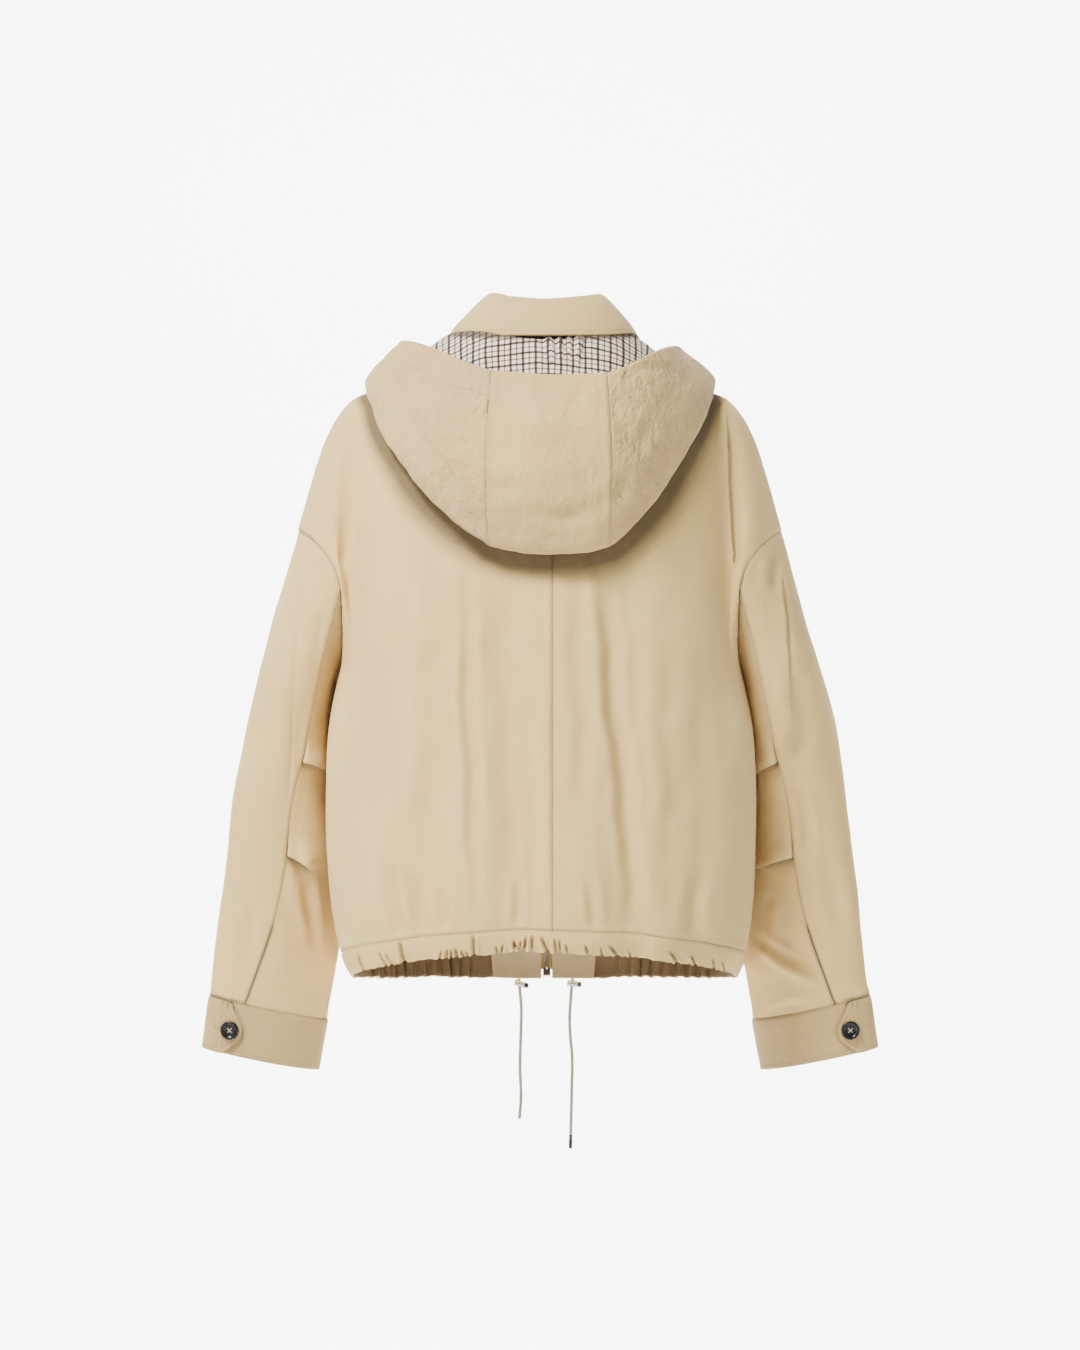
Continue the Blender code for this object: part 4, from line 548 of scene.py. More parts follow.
# %% Pressing them in
def near_line(across, up, line):
    """For each point: its distance to a bent line, the same with a sign for its side, and how far along it is."""
    best, along, signed = np.full(len(across), 9.0), np.zeros(len(across)), np.zeros(len(across))
    spans = len(line) - 1
    for n, ((ax, az), (bx, bz)) in enumerate(zip(line, line[1:])):
        run = np.array([bx - ax, bz - az])
        held = np.clip(((across - ax) * run[0] + (up - az) * run[1]) / run.dot(run), 0, 1)
        off_x, off_z = across - ax - held * run[0], up - az - held * run[1]
        distance = np.hypot(off_x, off_z)
        closer = distance < best
        best[closer] = distance[closer]
        along[closer] = ((n + held) / spans)[closer]
        signed[closer] = (np.sign(off_x) * distance)[closer]
    return best, signed, along


def ends_fade(along, share=0.28):
    return 0.12 + 0.88 * soft_step(along, 0.0, share) * soft_step(1 - along, 0.0, share)


def press(points, outward, creases, fold_lines=()):
    """How far each point moves out for every crease and fold line."""
    moved = np.zeros(len(points))
    x, z = points[:, 0], points[:, 2]
    for side, width, depth, line in creases:
        wander = 0.25 * width * np.sin(z * 55 + 700 * line[0][0]) + 0.12 * width * np.sin(z * 140 + 300 * line[0][1])
        distance, _, along = near_line(x + wander, z, line)
        facing = soft_step(outward[:, 1] * side, 0.02, 0.40)
        d = distance / width
        trough = np.exp(-d * d) - 0.40 * np.exp(-(((d - 1.9) / 0.85) ** 2))
        moved -= depth * facing * ends_fade(along) * trough
    for side, width, depth, way, line in fold_lines:
        _, signed, along = near_line(x, z, line)
        facing = soft_step(outward[:, 1] * side, -0.2, 0.2)
        s = signed * way / width
        step = np.where(s > 0, -np.exp(-((s / 1.3) ** 2)), 0.42 * np.exp(-((s / 0.9) ** 2)))
        moved += depth * facing * ends_fade(along, 0.16) * step
    return moved


def uneven(points, size, amount, seed, stretch=(1.0, 1.0, 0.45)):
    """Slow, soft unevenness of the cloth."""
    shift = Vector((seed * 3.1, seed * 1.7, seed * 2.3))
    found = [noise.noise(Vector([c * s / size for c, s in zip(p, stretch)]) + shift) for p in points]
    return amount * np.array(found)


# %% [markdown]
# ## Elbow tucks
#
# On each sleeve, two short tucks run in from the elbow seam: a fold of cloth is stitched down at the seam and opens
# towards the body. Seen from behind, the cloth above each tuck laps over the cloth below it.

# %% The tucks
# Each is: its line from the elbow seam inwards, and how much cloth laps over.
TUCKS = (
    (((0.2340, -0.3858), (0.2200, -0.3900), (0.2064, -0.3951)), 0.0050),
    (((0.2465, -0.4768), (0.2330, -0.4845), (0.2200, -0.4940)), 0.0054),
    (((-0.2310, -0.3866), (-0.2200, -0.3920), (-0.2079, -0.3986)), 0.0050),
    (((-0.2545, -0.4768), (-0.2330, -0.4835), (-0.2112, -0.4901)), 0.0054),
)
SWOLLEN, SUNK, RUN_OUT = 0.015, 0.0075, 0.008  # how far above, below and past its end a tuck is felt


def tucked(points, outward):
    """How far out the tucks move each point: swollen above the tuck's lip, sunk under it."""
    moved = np.zeros(len(points))
    x, z = points[:, 0], points[:, 2]
    for line, lap in TUCKS:
        distance, _, along = near_line(x, z, line)
        order = sorted(line)
        height = z - np.interp(x, [p[0] for p in order], [p[1] for p in order])
        inside = (1 - soft_step(along, 0.60, 1.0) * 0.80) * soft_step(outward[:, 1], -0.30, 0.10)
        over = np.where(height > 0, np.exp(-((height / SWOLLEN) ** 2)), -0.65 * np.exp(height / SUNK))
        beyond = np.where(along >= 1.0, np.exp(-((distance / RUN_OUT) ** 2)), 1.0)
        moved += lap * over * inside * beyond
    return moved


# %% [markdown]
# ## The gathered hem
#
# The drawcord bunches the hem casing. Behind, the casing lies smooth in places and is drawn into clusters of short,
# sharp puckers in others, each a narrow dent that runs up from the edge, with the edge lifted a little where it
# ends. In front the gathers are closer and deeper. The solid's own even ripple is calmed first, behind, so that only
# the puckers written down here are left.

# %% Puckers
# Behind, each is: top (across, up), bottom (across, up), half its width, its depth.
BACK_PUCKERS = (
    ((0.1750, -0.566), (0.1690, -0.582), 0.0016, 0.0026), ((0.1550, -0.565), (0.1455, -0.579), 0.0016, 0.0034),
    ((0.1478, -0.566), (0.1405, -0.578), 0.0014, 0.0032), ((0.1340, -0.552), (0.1290, -0.574), 0.0024, 0.0026),
    ((0.0928, -0.562), (0.0955, -0.573), 0.0015, 0.0028), ((0.0874, -0.560), (0.0884, -0.573), 0.0015, 0.0030),
    ((0.0842, -0.560), (0.0834, -0.572), 0.0013, 0.0026), ((0.0804, -0.559), (0.0776, -0.572), 0.0015, 0.0032),
    ((0.0758, -0.562), (0.0706, -0.571), 0.0014, 0.0028), ((0.0700, -0.563), (0.0672, -0.571), 0.0013, 0.0022),
    ((0.0628, -0.545), (0.0622, -0.566), 0.0020, 0.0022), ((0.0418, -0.557), (0.0394, -0.568), 0.0014, 0.0022),
    ((0.0350, -0.556), (0.0366, -0.566), 0.0014, 0.0026), ((0.0279, -0.553), (0.0171, -0.565), 0.0016, 0.0032),
    ((0.0242, -0.551), (0.0242, -0.564), 0.0014, 0.0026), ((0.0180, -0.552), (0.0188, -0.564), 0.0013, 0.0024),
    ((0.0130, -0.548), (0.0150, -0.564), 0.0015, 0.0032), ((0.0070, -0.546), (0.0078, -0.564), 0.0015, 0.0032),
    ((0.0000, -0.548), (-0.0066, -0.563), 0.0016, 0.0034), ((-0.0134, -0.550), (-0.0150, -0.563), 0.0014, 0.0026),
    ((-0.0180, -0.551), (-0.0190, -0.564), 0.0013, 0.0026), ((-0.0243, -0.556), (-0.0260, -0.565), 0.0014, 0.0022),
    ((-0.0418, -0.556), (-0.0462, -0.567), 0.0015, 0.0030), ((-0.0570, -0.558), (-0.0590, -0.569), 0.0014, 0.0024),
    ((-0.0637, -0.556), (-0.0768, -0.572), 0.0018, 0.0034), ((-0.0832, -0.562), (-0.0876, -0.574), 0.0015, 0.0028),
    ((-0.1203, -0.561), (-0.1335, -0.580), 0.0018, 0.0034), ((-0.1421, -0.567), (-0.1487, -0.580), 0.0015, 0.0030),
    ((-0.1640, -0.571), (-0.1665, -0.584), 0.0015, 0.0028), ((-0.1727, -0.573), (-0.1760, -0.586), 0.0014, 0.0024),
)
# In front, each gather is: where it crosses the casing seam, where it meets the hem, half its width, its depth.
FRONT_GATHERS = (
    (0.1640, 0.1610, 0.0026, 0.0034), (0.1540, 0.1500, 0.0020, 0.0024), (0.1400, 0.1370, 0.0024, 0.0036),
    (0.1300, 0.1280, 0.0020, 0.0026), (0.1180, 0.1160, 0.0024, 0.0034), (0.1060, 0.1050, 0.0022, 0.0026),
    (0.0950, 0.0930, 0.0024, 0.0036), (0.0850, 0.0840, 0.0020, 0.0028), (0.0740, 0.0730, 0.0024, 0.0034),
    (-0.0740, -0.0730, 0.0024, 0.0036), (-0.0840, -0.0830, 0.0020, 0.0026), (-0.0950, -0.0940, 0.0024, 0.0034),
    (-0.1050, -0.1040, 0.0020, 0.0028), (-0.1170, -0.1150, 0.0024, 0.0036), (-0.1280, -0.1260, 0.0022, 0.0026),
    (-0.1400, -0.1380, 0.0024, 0.0034), (-0.1530, -0.1500, 0.0022, 0.0028), (-0.1650, -0.1620, 0.0026, 0.0034),
)
FRONT_SEAM_Z, CASING_DEPTH = -0.5755, 0.0215
AT_SEAM, FADES_ABOVE = 0.62, 0.016  # a front gather's share at the casing seam, and how far above it fades
BODY_OVAL = (0.20, 0.13)  # half the body's width and half its depth


# %% Calming the ripple, then pressing the puckers in
def calmed(points, reach=0.011):
    """The casing's points with their even ripple averaged out, along the hem but not across it."""
    tree = tree_of(points)
    out = points * np.array([1 / BODY_OVAL[0] ** 2, 1 / BODY_OVAL[1] ** 2, 0])
    out /= np.linalg.norm(out, axis=1)[:, None]
    still = points.copy()
    for n, point in enumerate(points):
        near = [i for _, i, _ in tree.find_range(point, reach) if abs(points[i][2] - point[2]) < 0.0022]
        still[n] += out[n] * np.dot(points[near].mean(0) - point, out[n])
    return still


def puckered(points, outward):
    """How far out and up the puckers of the hem move each point behind."""
    x, y, z = points.T
    slant = np.maximum(outward[:, 1], 0.35)
    moved, up = np.zeros(len(points)), np.zeros(len(points))
    for top, low, width, depth in BACK_PUCKERS:
        past = (low[0] * 1.15 - top[0] * 0.15, low[1] * 1.15 - top[1] * 0.15)
        distance, _, along = near_line(x, z, (top, past))
        d = distance / (width * slant)
        fade = soft_step(along, 0.0, 0.45) * (y > 0)
        moved += 1.25 * depth * fade * (0.42 * np.exp(-(((d - 1.9) / 0.9) ** 2)) - np.exp(-d * d))
        up += 0.0022 * np.exp(-((d / 1.6) ** 2)) * soft_step(along, 0.55, 1.0) * (y > 0)
    return moved, up


def gathered(points, outward):
    """How far out the gathers move each point in front."""
    x, y, z = points.T
    down = (FRONT_SEAM_Z - z) / CASING_DEPTH
    above = AT_SEAM * np.exp(down * CASING_DEPTH / FADES_ABOVE)
    strength = np.where(down > 0, AT_SEAM + (1 - AT_SEAM) * soft_step(down, 0.0, 0.5), above)
    slant = np.maximum(np.abs(outward[:, 1]), 0.35)
    moved = np.zeros(len(points))
    for top, low, width, depth in FRONT_GATHERS:
        d = np.abs(x - top - (low - top) * np.clip(down, -0.8, 1.0)) / (1.1 * width * slant)
        moved += depth * strength * (0.55 * np.exp(-(((d - 1.75) / 0.8) ** 2)) - np.exp(-d * d))
    return moved * (y < -0.008)


# %% [markdown]
# ## The collar's corners
#
# A folded collar is stiffest at its fold, so its fold stays sharp and its two corners stand up. Subdividing rounds
# that fold, so the corners are lifted back to where they were.

# %% How far the collar's fold is lifted, from right to left
COLLAR_ACROSS = (-0.085, -0.062, -0.040, 0.0, 0.030, 0.050, 0.078)
COLLAR_LIFT = (0.0, 0.0040, 0.0016, -0.0004, 0.0014, 0.0058, 0.0)


# %% [markdown]
# ## Sewing the pieces together
#
# The solids stop a hair short of each other at every seam. Real seams have no gap: the two cloths are drawn
# together into a fine groove, and the stitches pucker the cloth beside it. So each point on a sewn edge moves
# halfway to the piece beside it, the cloth near it follows, and both sink a little.


# %% Edges of a skin
def edge_runs(piece, spacing=0.0010):
    """Points along a skin's open edges, with their distance along the edge."""
    shape = bmesh.new()
    shape.from_mesh(piece.data)
    unseen = {e for e in shape.edges if e.is_boundary}
    samples, at = [], 0.0
    while unseen:
        edge = min(unseen, key=lambda e: [round(c, 5) for v in e.verts for c in v.co])
        vert = edge.verts[0]
        while edge is not None:
            unseen.discard(edge)
            end = edge.other_vert(vert)
            run = end.co - vert.co
            steps = max(1, math.ceil(run.length / spacing))
            samples += [(vert.co + run * (n / steps), at + run.length * n / steps) for n in range(steps)]
            at += run.length
            vert = end
            edge = next((e for e in vert.link_edges if e in unseen), None)
    shape.free()
    return samples


def open_edge_points(piece):
    shape = bmesh.new()
    shape.from_mesh(piece.data)
    found = [v.index for v in shape.verts if v.is_boundary]
    shape.free()
    return found


# %% Closing the seams
SEAM_REACH = 0.0048
FOLLOWS = 0.010  # how far from a seam the cloth follows it


def draw_together(skins):
    """Moves every sewn edge halfway to its neighbour."""
    owners = [(node, point) for node, skin in skins.items() for point, _ in edge_runs(skin)]
    everything = tree_of([point for _, point in owners])
    pulls = {}
    for node, skin in skins.items():
        points = [skin.data.vertices[n].co.copy() for n in open_edge_points(skin)]
        pull = []
        for point in points:
            others = [i for _, i, _ in everything.find_range(point, SEAM_REACH) if owners[i][0] != node]
            nearest = min(others, key=lambda i: (owners[i][1] - point).length, default=None)
            pull.append(Vector() if nearest is None else (owners[nearest][1] - point) / 2)
        pulls[node] = (points, pull)
    for node, skin in skins.items():
        points, pull = pulls[node]
        near = tree_of(points)
        place = vectors_of(skin)
        for n, vert in enumerate(skin.data.vertices):
            _, i, distance = near.find(vert.co)
            if distance < FOLLOWS:
                place[n] += np.array(pull[i]) * (1 - distance / FOLLOWS) ** 2
        place_points(skin, place)


def seam_distances(skins, loose):
    """For each piece: distance along and away from its nearest sewn edge, and from its nearest free edge."""
    runs = {node: edge_runs(skin, 0.0012) for node, skin in skins.items()}
    trees = {node: tree_of([p for p, _ in samples]) for node, samples in runs.items() if node not in loose}
    boxes = {node: (vectors_of(skins[node]).min(0) - 0.004, vectors_of(skins[node]).max(0) + 0.004) for node in trees}
    found = {}
    for node, skin in skins.items():
        sewn, free = [], []
        for point, at in runs[node]:
            others = [
                trees[o].find(point)[2]
                for o, (low, high) in boxes.items()
                if o != node and all(low[i] <= point[i] <= high[i] for i in range(3))
            ]
            (sewn if min(others, default=1.0) < 0.0026 else free).append((point, at))
        values = []
        for samples in (sewn, free):
            if not samples:
                values.append(np.full((len(skin.data.vertices), 2), 1.0))
                continue
            tree = tree_of([p for p, _ in samples])
            nearest = [tree.find(v.co) for v in skin.data.vertices]
            values.append(np.array([(samples[i][1], distance) for _, i, distance in nearest]))
        found[node] = values
    return found


# %% [markdown]
# ## Cloth maps
#
# The weave must follow each cut piece, so every skin has a map in metres: across the cloth, and along its grain.
# Body panels are mapped round the body, sleeves round the arm, and the hood and collar as they lie.


# %% Flat maps
def body_grain(points):
    turn = np.arctan2(points[:, 0] / BODY_OVAL[0], np.abs(points[:, 1]) / BODY_OVAL[1])
    return np.stack([turn * 0.19, points[:, 2]], axis=1)


def hood_grain(points):
    return np.stack([points[:, 0], 0.82 * (points[:, 2] - points[:, 1])], axis=1)


def arm_grain(points):
    down = 0.35 * np.abs(points[:, 0]) - points[:, 2]
    out = np.abs(points[:, 0]) - 0.232 - 0.02 * (down - 0.3)
    behind = points[:, 1] + 0.03 + 0.12 * (down - 0.3)
    return np.stack([np.arctan2(behind, out) * 0.055, down], axis=1)


def grain_of(node, points):
    if "sleeve" in node or "cuff" in node:
        return arm_grain(points)
    return hood_grain(points) if node.startswith(("hood", "collar")) else body_grain(points)


# %% Shaping each skin
SIDE_SWELL = {"x": (0.172, 0.190), "z": -0.335, "reach": 0.060, "out": 0.0035}  # the body, below the armhole
FACED = {"x": -0.011, "from": 0.066, "to": 0.088, "out": 0.0019, "calmed": 0.75}  # where facings lie behind
LINING_BACK, LINING_FURTHER = 0.0032, 0.0016  # how far the lining lies back, and how much more past its edge


def crease_amounts(node, points, outward):
    """How far out each point of a skin moves."""
    if node.startswith("hood"):
        moved = press(points, outward, HOOD_CREASES) + uneven(points, 0.040, 0.0026, 3, (1, 1, 0.8))
        return moved + uneven(points, 0.014, 0.0009, 8, (1, 1, 1))
    if "sleeve" in node:
        moved = press(points, outward, SLEEVE_CREASES, SLEEVE_FOLD_LINES) + uneven(points, 0.055, 0.0026, 1)
        return moved + uneven(points, 0.022, 0.0007, 4)
    if node.startswith(("back", "front")):
        moved = press(points, outward, CREASES, FOLD_LINES) + uneven(points, 0.065, 0.0026, 1)
        side = soft_step(np.abs(points[:, 0]), *SIDE_SWELL["x"])
        height = (points[:, 2] - SIDE_SWELL["z"]) / SIDE_SWELL["reach"]
        moved += SIDE_SWELL["out"] * side * np.exp(-(height**2))
        return moved + uneven(points, 0.024, 0.0005, 4)
    return uneven(points, 0.030, 0.0005, 2)


def shape_skin(node, skin):
    """Moves a skin's points for all its creases. Returns how far out each one went."""
    if node.startswith("casing"):
        place_points(skin, calmed(vectors_of(skin)))
    points, outward = vectors_of(skin), vectors_of(skin, "normal")
    edge = tree_of([skin.data.vertices[n].co.copy() for n in open_edge_points(skin)])
    from_edge = np.array([edge.find(v.co)[2] for v in skin.data.vertices])
    moved = crease_amounts(node, points, outward) * (0.25 + 0.75 * soft_step(from_edge, 0.0, 0.012))
    if "under_sleeve" in node:
        moved += tucked(points, outward) * soft_step(from_edge, -0.001, 0.003)
    if node.startswith(("back", "casing_back")):
        puckers, up = puckered(points, outward)
        moved += puckers
        points[:, 2] += up
    if node.startswith(("front", "casing_front")):
        moved += gathered(points, outward)
        from_middle = np.abs(points[:, 0] - FACED["x"])
        faced = (1 - soft_step(from_middle, FACED["from"], FACED["to"])) * (points[:, 1] < 0)
        moved += faced * (FACED["out"] - FACED["calmed"] * moved)
    if node == "collar_fall":
        points[:, 2] += np.interp(points[:, 0], COLLAR_ACROSS, COLLAR_LIFT) * soft_step(points[:, 2], 0.036, 0.056)
    if node == "hood_lining":
        moved -= LINING_BACK + LINING_FURTHER * soft_step(from_edge, 0.0, 0.014)
        moved += press(points, outward, NECK_GATHERS)
    place_points(skin, points + outward * moved[:, None])
    return moved


def pucker(skin, sewn, sink=0.0006):
    """The cloth sinks at a seam and puckers beside it, unevenly."""
    along, away = sewn.T
    waves = np.array([noise.noise(Vector((a / 0.0065, d / 0.020, 0.0))) for a, d in zip(along, away)])
    groove = -sink * np.exp(-((away / 0.0011) ** 2))
    welt = 0.5 * sink * np.exp(-(((away - 0.0035) / 0.0025) ** 2))
    ripple = 0.0007 * waves * np.exp(-((away / 0.007) ** 2)) * soft_step(away, 0.0, 0.0020)
    place_points(skin, vectors_of(skin) + vectors_of(skin, "normal") * (groove + welt + ripple)[:, None])


LOOSE = ("hood_lining",)
RELIEFS = {node: shape_skin(node, skin) for node, skin in SKINS.items()}
draw_together({node: skin for node, skin in SKINS.items() if node not in LOOSE})
DISTANCES = seam_distances(SKINS, LOOSE)
for node, skin in SKINS.items():
    pucker(skin, DISTANCES[node][0], 0.0002 if node.startswith("hood") else 0.0005)
print("deepest trough", round(min(r.min() for r in RELIEFS.values()) * 1000, 1), "mm")

# %% [markdown]
# ## Painted shade where cloth lies close over cloth
#
# Cloth is darkest just beside the edge of what hangs over it: under the hood and the collar, under the lips of the
# tucks, in the slits at the sleeve ends, at the bottom of the hem's puckers and round the tabs of the cuffs. Soft
# light alone leaves these lines too pale. So a number from 0 to 1 is worked out for each point of the skins, mostly
# from how near the other cloth is, and the material paints that much shade into the cloth's colour.


# %% How near other cloth is
def painted_shade(points, cover, reach, behind=0.0):
    """How much painted shade each point gets from lying under or just beside what hangs over it, seen from behind."""
    over = tree_of([(x, 0, z) for x, _, z in cover])
    away = np.array([over.find((x, 0, z))[2] for x, _, z in points])
    return np.clip((reach - away) / (0.6 * reach), 0, 1) ** 1.3 * (points[:, 1] > behind)


def close_to(points, cover, reach):
    """How much painted shade each point gets from what lies close over it, measured straight through the air."""
    over = tree_of(cover)
    return np.clip((reach - np.array([over.find(point)[2] for point in points])) / (0.5 * reach), 0, 1)


# %% Painted shade in puckers, tucks, slits and steps
SLIT = {"top": (0.540, 0.550), "end": (0.618, 0.624), "x": 0.252, "width": 0.0013}  # heights below the neck
# The painted shade along a step is darkest where a point lies STEP_DEPTH lower than the cloth around it.
STEP_DEPTH = 0.00022  # how low a point lies where a step in the cloth is darkest


def in_puckers(points):
    """Painted shade along the bottom of each pucker of the hem."""
    x, z = points[:, 0], points[:, 2]
    dark = np.zeros(len(points))
    for top, low, width, _ in BACK_PUCKERS:
        distance, _, along = near_line(x, z, (top, low))
        dark = np.maximum(dark, np.exp(-((distance / (0.75 * width)) ** 2)) * soft_step(along, 0.0, 0.4))
    return 0.65 * dark * (points[:, 1] > 0)


def lapped(node, points, sewn):
    """Painted shade under the lip of each sleeve tuck, and in the slit that ends each elbow seam."""
    x, z = points[:, 0], points[:, 2]
    dark = np.zeros(len(points))
    for line, _ in TUCKS if "under" in node else ():
        order = sorted(line)
        height = z - np.interp(x, [p[0] for p in order], [p[1] for p in order])
        distance, _, along = near_line(x, z, line)
        under = np.where(height < 0, np.exp(height / 0.0040), np.exp(-((height / 0.0008) ** 2)))
        dark = np.maximum(dark, 0.95 * under * (distance < 0.012) * (1 - 0.6 * soft_step(along, 0.7, 1.0)))
    slit = soft_step(-z, *SLIT["top"]) * (1 - soft_step(-z, *SLIT["end"])) * (np.abs(x) > SLIT["x"])
    return np.maximum(dark, 0.95 * slit * np.exp(-((sewn[:, 1] / SLIT["width"]) ** 2)))


def hollows(skin, reach=0.0024):
    """Painted shade along a step in the cloth, where a point lies lower than the cloth around it."""
    points, outward = vectors_of(skin), vectors_of(skin, "normal")
    tree = tree_of(points)
    around = np.array([points[[i for _, i, _ in tree.find_range(point, reach)]].mean(0) for point in points])
    return 0.9 * np.clip(((around - points) * outward).sum(1) / STEP_DEPTH - 0.25, 0, 1)


# %% The painted shade of each piece
# How dark the painted shade is under the collar, under the hood and on the under sleeves beside the body, up to 1.
UNDER_COLLAR, UNDER_HOOD, BY_THE_BODY = 0.85, 0.85, 0.32  # how dark, up to 1


def together(*parts):
    return np.concatenate([vectors_of(SKINS[part]) for part in parts])


HOOD_POINTS = together("hood_left", "hood_middle", "hood_right")
PAINTED_SHADE_BY_PIECE = {
    "hood_lining": UNDER_COLLAR * close_to(together("hood_lining"), together("collar_fall"), 0.0070),
    "casing_back": in_puckers(together("casing_back")),
}
for side in ("left", "right"):
    back = together("back_" + side)
    low = soft_step(-back[:, 2], 0.02, 0.17)  # the shade is wider lower down
    under_hood = UNDER_HOOD * painted_shade(back, HOOD_POINTS, 0.014 + 0.018 * low)
    PAINTED_SHADE_BY_PIECE["back_" + side] = np.maximum(under_hood, in_puckers(back))
    for node in ("under_sleeve_" + side, "top_sleeve_" + side):
        PAINTED_SHADE_BY_PIECE[node] = lapped(node, together(node), DISTANCES[node][0])
    torso, sleeve = together("back_" + side, "front_" + side), "under_sleeve_" + side
    beside_body = BY_THE_BODY * painted_shade(together(sleeve), torso, 0.022, -0.2)
    PAINTED_SHADE_BY_PIECE[sleeve] = np.maximum(beside_body, PAINTED_SHADE_BY_PIECE[sleeve])
    PAINTED_SHADE_BY_PIECE["cuff_" + side] = hollows(SKINS["cuff_" + side])
print("darkest", {node: round(float(values.max()), 2) for node, values in PAINTED_SHADE_BY_PIECE.items()})

# %% [markdown]
# ## Cotton cloth as a material
#
# Close up, the jacket is a fine cotton that catches soft light. Its colour is painted a little paler on ridges and a
# little darker in troughs and seams: painted highlight and painted shade. Three effects are shared by many pieces, so
# each is a node group: the weave, the crinkle of washed cotton, and a row of stitches. The material joins them, and
# keeps the Principled shader to itself.


# %% The weave
def weave_group():
    """Fine diagonal ribs from the cloth's own map, broken up by slubs."""
    given = [("Cloth", "Vector", None), ("Ribs", "Float", 1100.0)]
    group, given, out = new_group("fine_weave", given, ["Height", "Slubs"])
    across, along = split(group, given["Cloth"])
    diagonal = maths(group, "MULTIPLY_ADD", along, 0.6, across)
    wobble = noise_at(group, given["Cloth"], 260.0)
    phase = maths(group, "MULTIPLY_ADD", diagonal, given["Ribs"], maths(group, "MULTIPLY", wobble, 2.4))
    ribs = maths(group, "SINE", maths(group, "MULTIPLY", phase, 2 * math.pi))
    warp = noise_at(group, given["Cloth"], 1.0, 3.0, 0.6, (1400, 70, 1))
    weft = noise_at(group, given["Cloth"], 1.0, 3.0, 0.6, (70, 1400, 1))
    slubs = maths(group, "MULTIPLY", maths(group, "ADD", warp, weft), 0.5)
    group.links.new(maths(group, "MULTIPLY_ADD", ribs, 0.4, slubs), out["Height"])
    group.links.new(slubs, out["Slubs"])
    return group


# %% The crinkle
def crinkle_group():
    """Soft creasing of washed cotton: thin ridges, with finer wrinkles over them."""
    group, given, out = new_group("washed_crinkle", [("Place", "Vector", None), ("Size", "Float", 1.0)], ["Height"])
    scaled = group.nodes.new("ShaderNodeVectorMath")
    scaled.operation = "SCALE"
    feed(group, scaled.inputs[0], given["Place"])
    feed(group, scaled.inputs["Scale"], given["Size"])
    place = scaled.outputs["Vector"]
    broad = noise_at(group, place, 24.0, 4.0, 0.55, (1, 1, 0.6))
    ridge = maths(group, "ABSOLUTE", maths(group, "SUBTRACT", broad, 0.5))
    fine = noise_at(group, place, 130.0, 3.0, 0.6)
    group.links.new(maths(group, "MULTIPLY_ADD", ridge, -1.7, maths(group, "MULTIPLY", fine, 0.30)), out["Height"])
    return group


# %% The stitches
def stitch_group():
    """One row of stitches at a distance from an edge, with the dent that it lies in."""
    sizes = [("Distance", "Float", 0.0018), ("Stitch", "Float", 0.0028), ("Thread", "Float", 0.00032)]
    group, given, out = new_group("stitch_row", [("Seams", "Vector", None), *sizes], ["Thread", "Dent"])
    along, away = split(group, given["Seams"])
    step = maths(group, "FRACT", maths(group, "DIVIDE", along, given["Stitch"]))
    dash = maths(group, "LESS_THAN", maths(group, "ABSOLUTE", maths(group, "SUBTRACT", step, 0.5)), 0.37)
    off = maths(group, "ABSOLUTE", maths(group, "SUBTRACT", away, given["Distance"]))
    row = maths(group, "SUBTRACT", 1.0, maths(group, "DIVIDE", off, given["Thread"]), clamp=True)
    wide = maths(group, "DIVIDE", off, maths(group, "MULTIPLY", given["Thread"], 2.6))
    group.links.new(maths(group, "MULTIPLY", row, dash), out["Thread"])
    group.links.new(maths(group, "SUBTRACT", 1.0, wide, clamp=True), out["Dent"])
    return group


WEAVE, CRINKLE, STITCHES = weave_group(), crinkle_group(), stitch_group()
print("groups:", WEAVE.name, CRINKLE.name, STITCHES.name)

# %% Cotton, from a few choices
# The pale shell colour is both the slubs' own colour and the painted highlight on ridges; the dull one is both the
# patches' own colour and the painted shade in troughs.
SHELL, SHELL_DULL_AND_SHADE, SHELL_PALE_AND_HIGHLIGHT = (0.685, 0.456, 0.158), (0.580, 0.388, 0.150), (0.765, 0.548, 0.218)
HOOD_DULL = (0.530, 0.335, 0.170)
# The thread colour is also the painted shade in the dent beside a stitch row. CREVICE is the painted shade in seam
# grooves and along free edges, and the colour that whole pieces are darkened towards. SHADED is the painted shade where
# cloth lies close over cloth.
THREAD_AND_DENT_SHADE, CREVICE, SHADED = (0.430, 0.315, 0.170), (0.150, 0.100, 0.055), (0.060, 0.042, 0.026)
# Painted highlight on ridges and painted shade in troughs: how fast each grows for each metre of relief.
RIDGE_HIGHLIGHT, TROUGH_SHADE = 150.0, -110.0  # how fast ridges and troughs change colour, for each metre of relief
# The dark line along a seam is painted shade in its groove.
SEAM_LINE = 0.0008  # half the width of the dark line along a seam


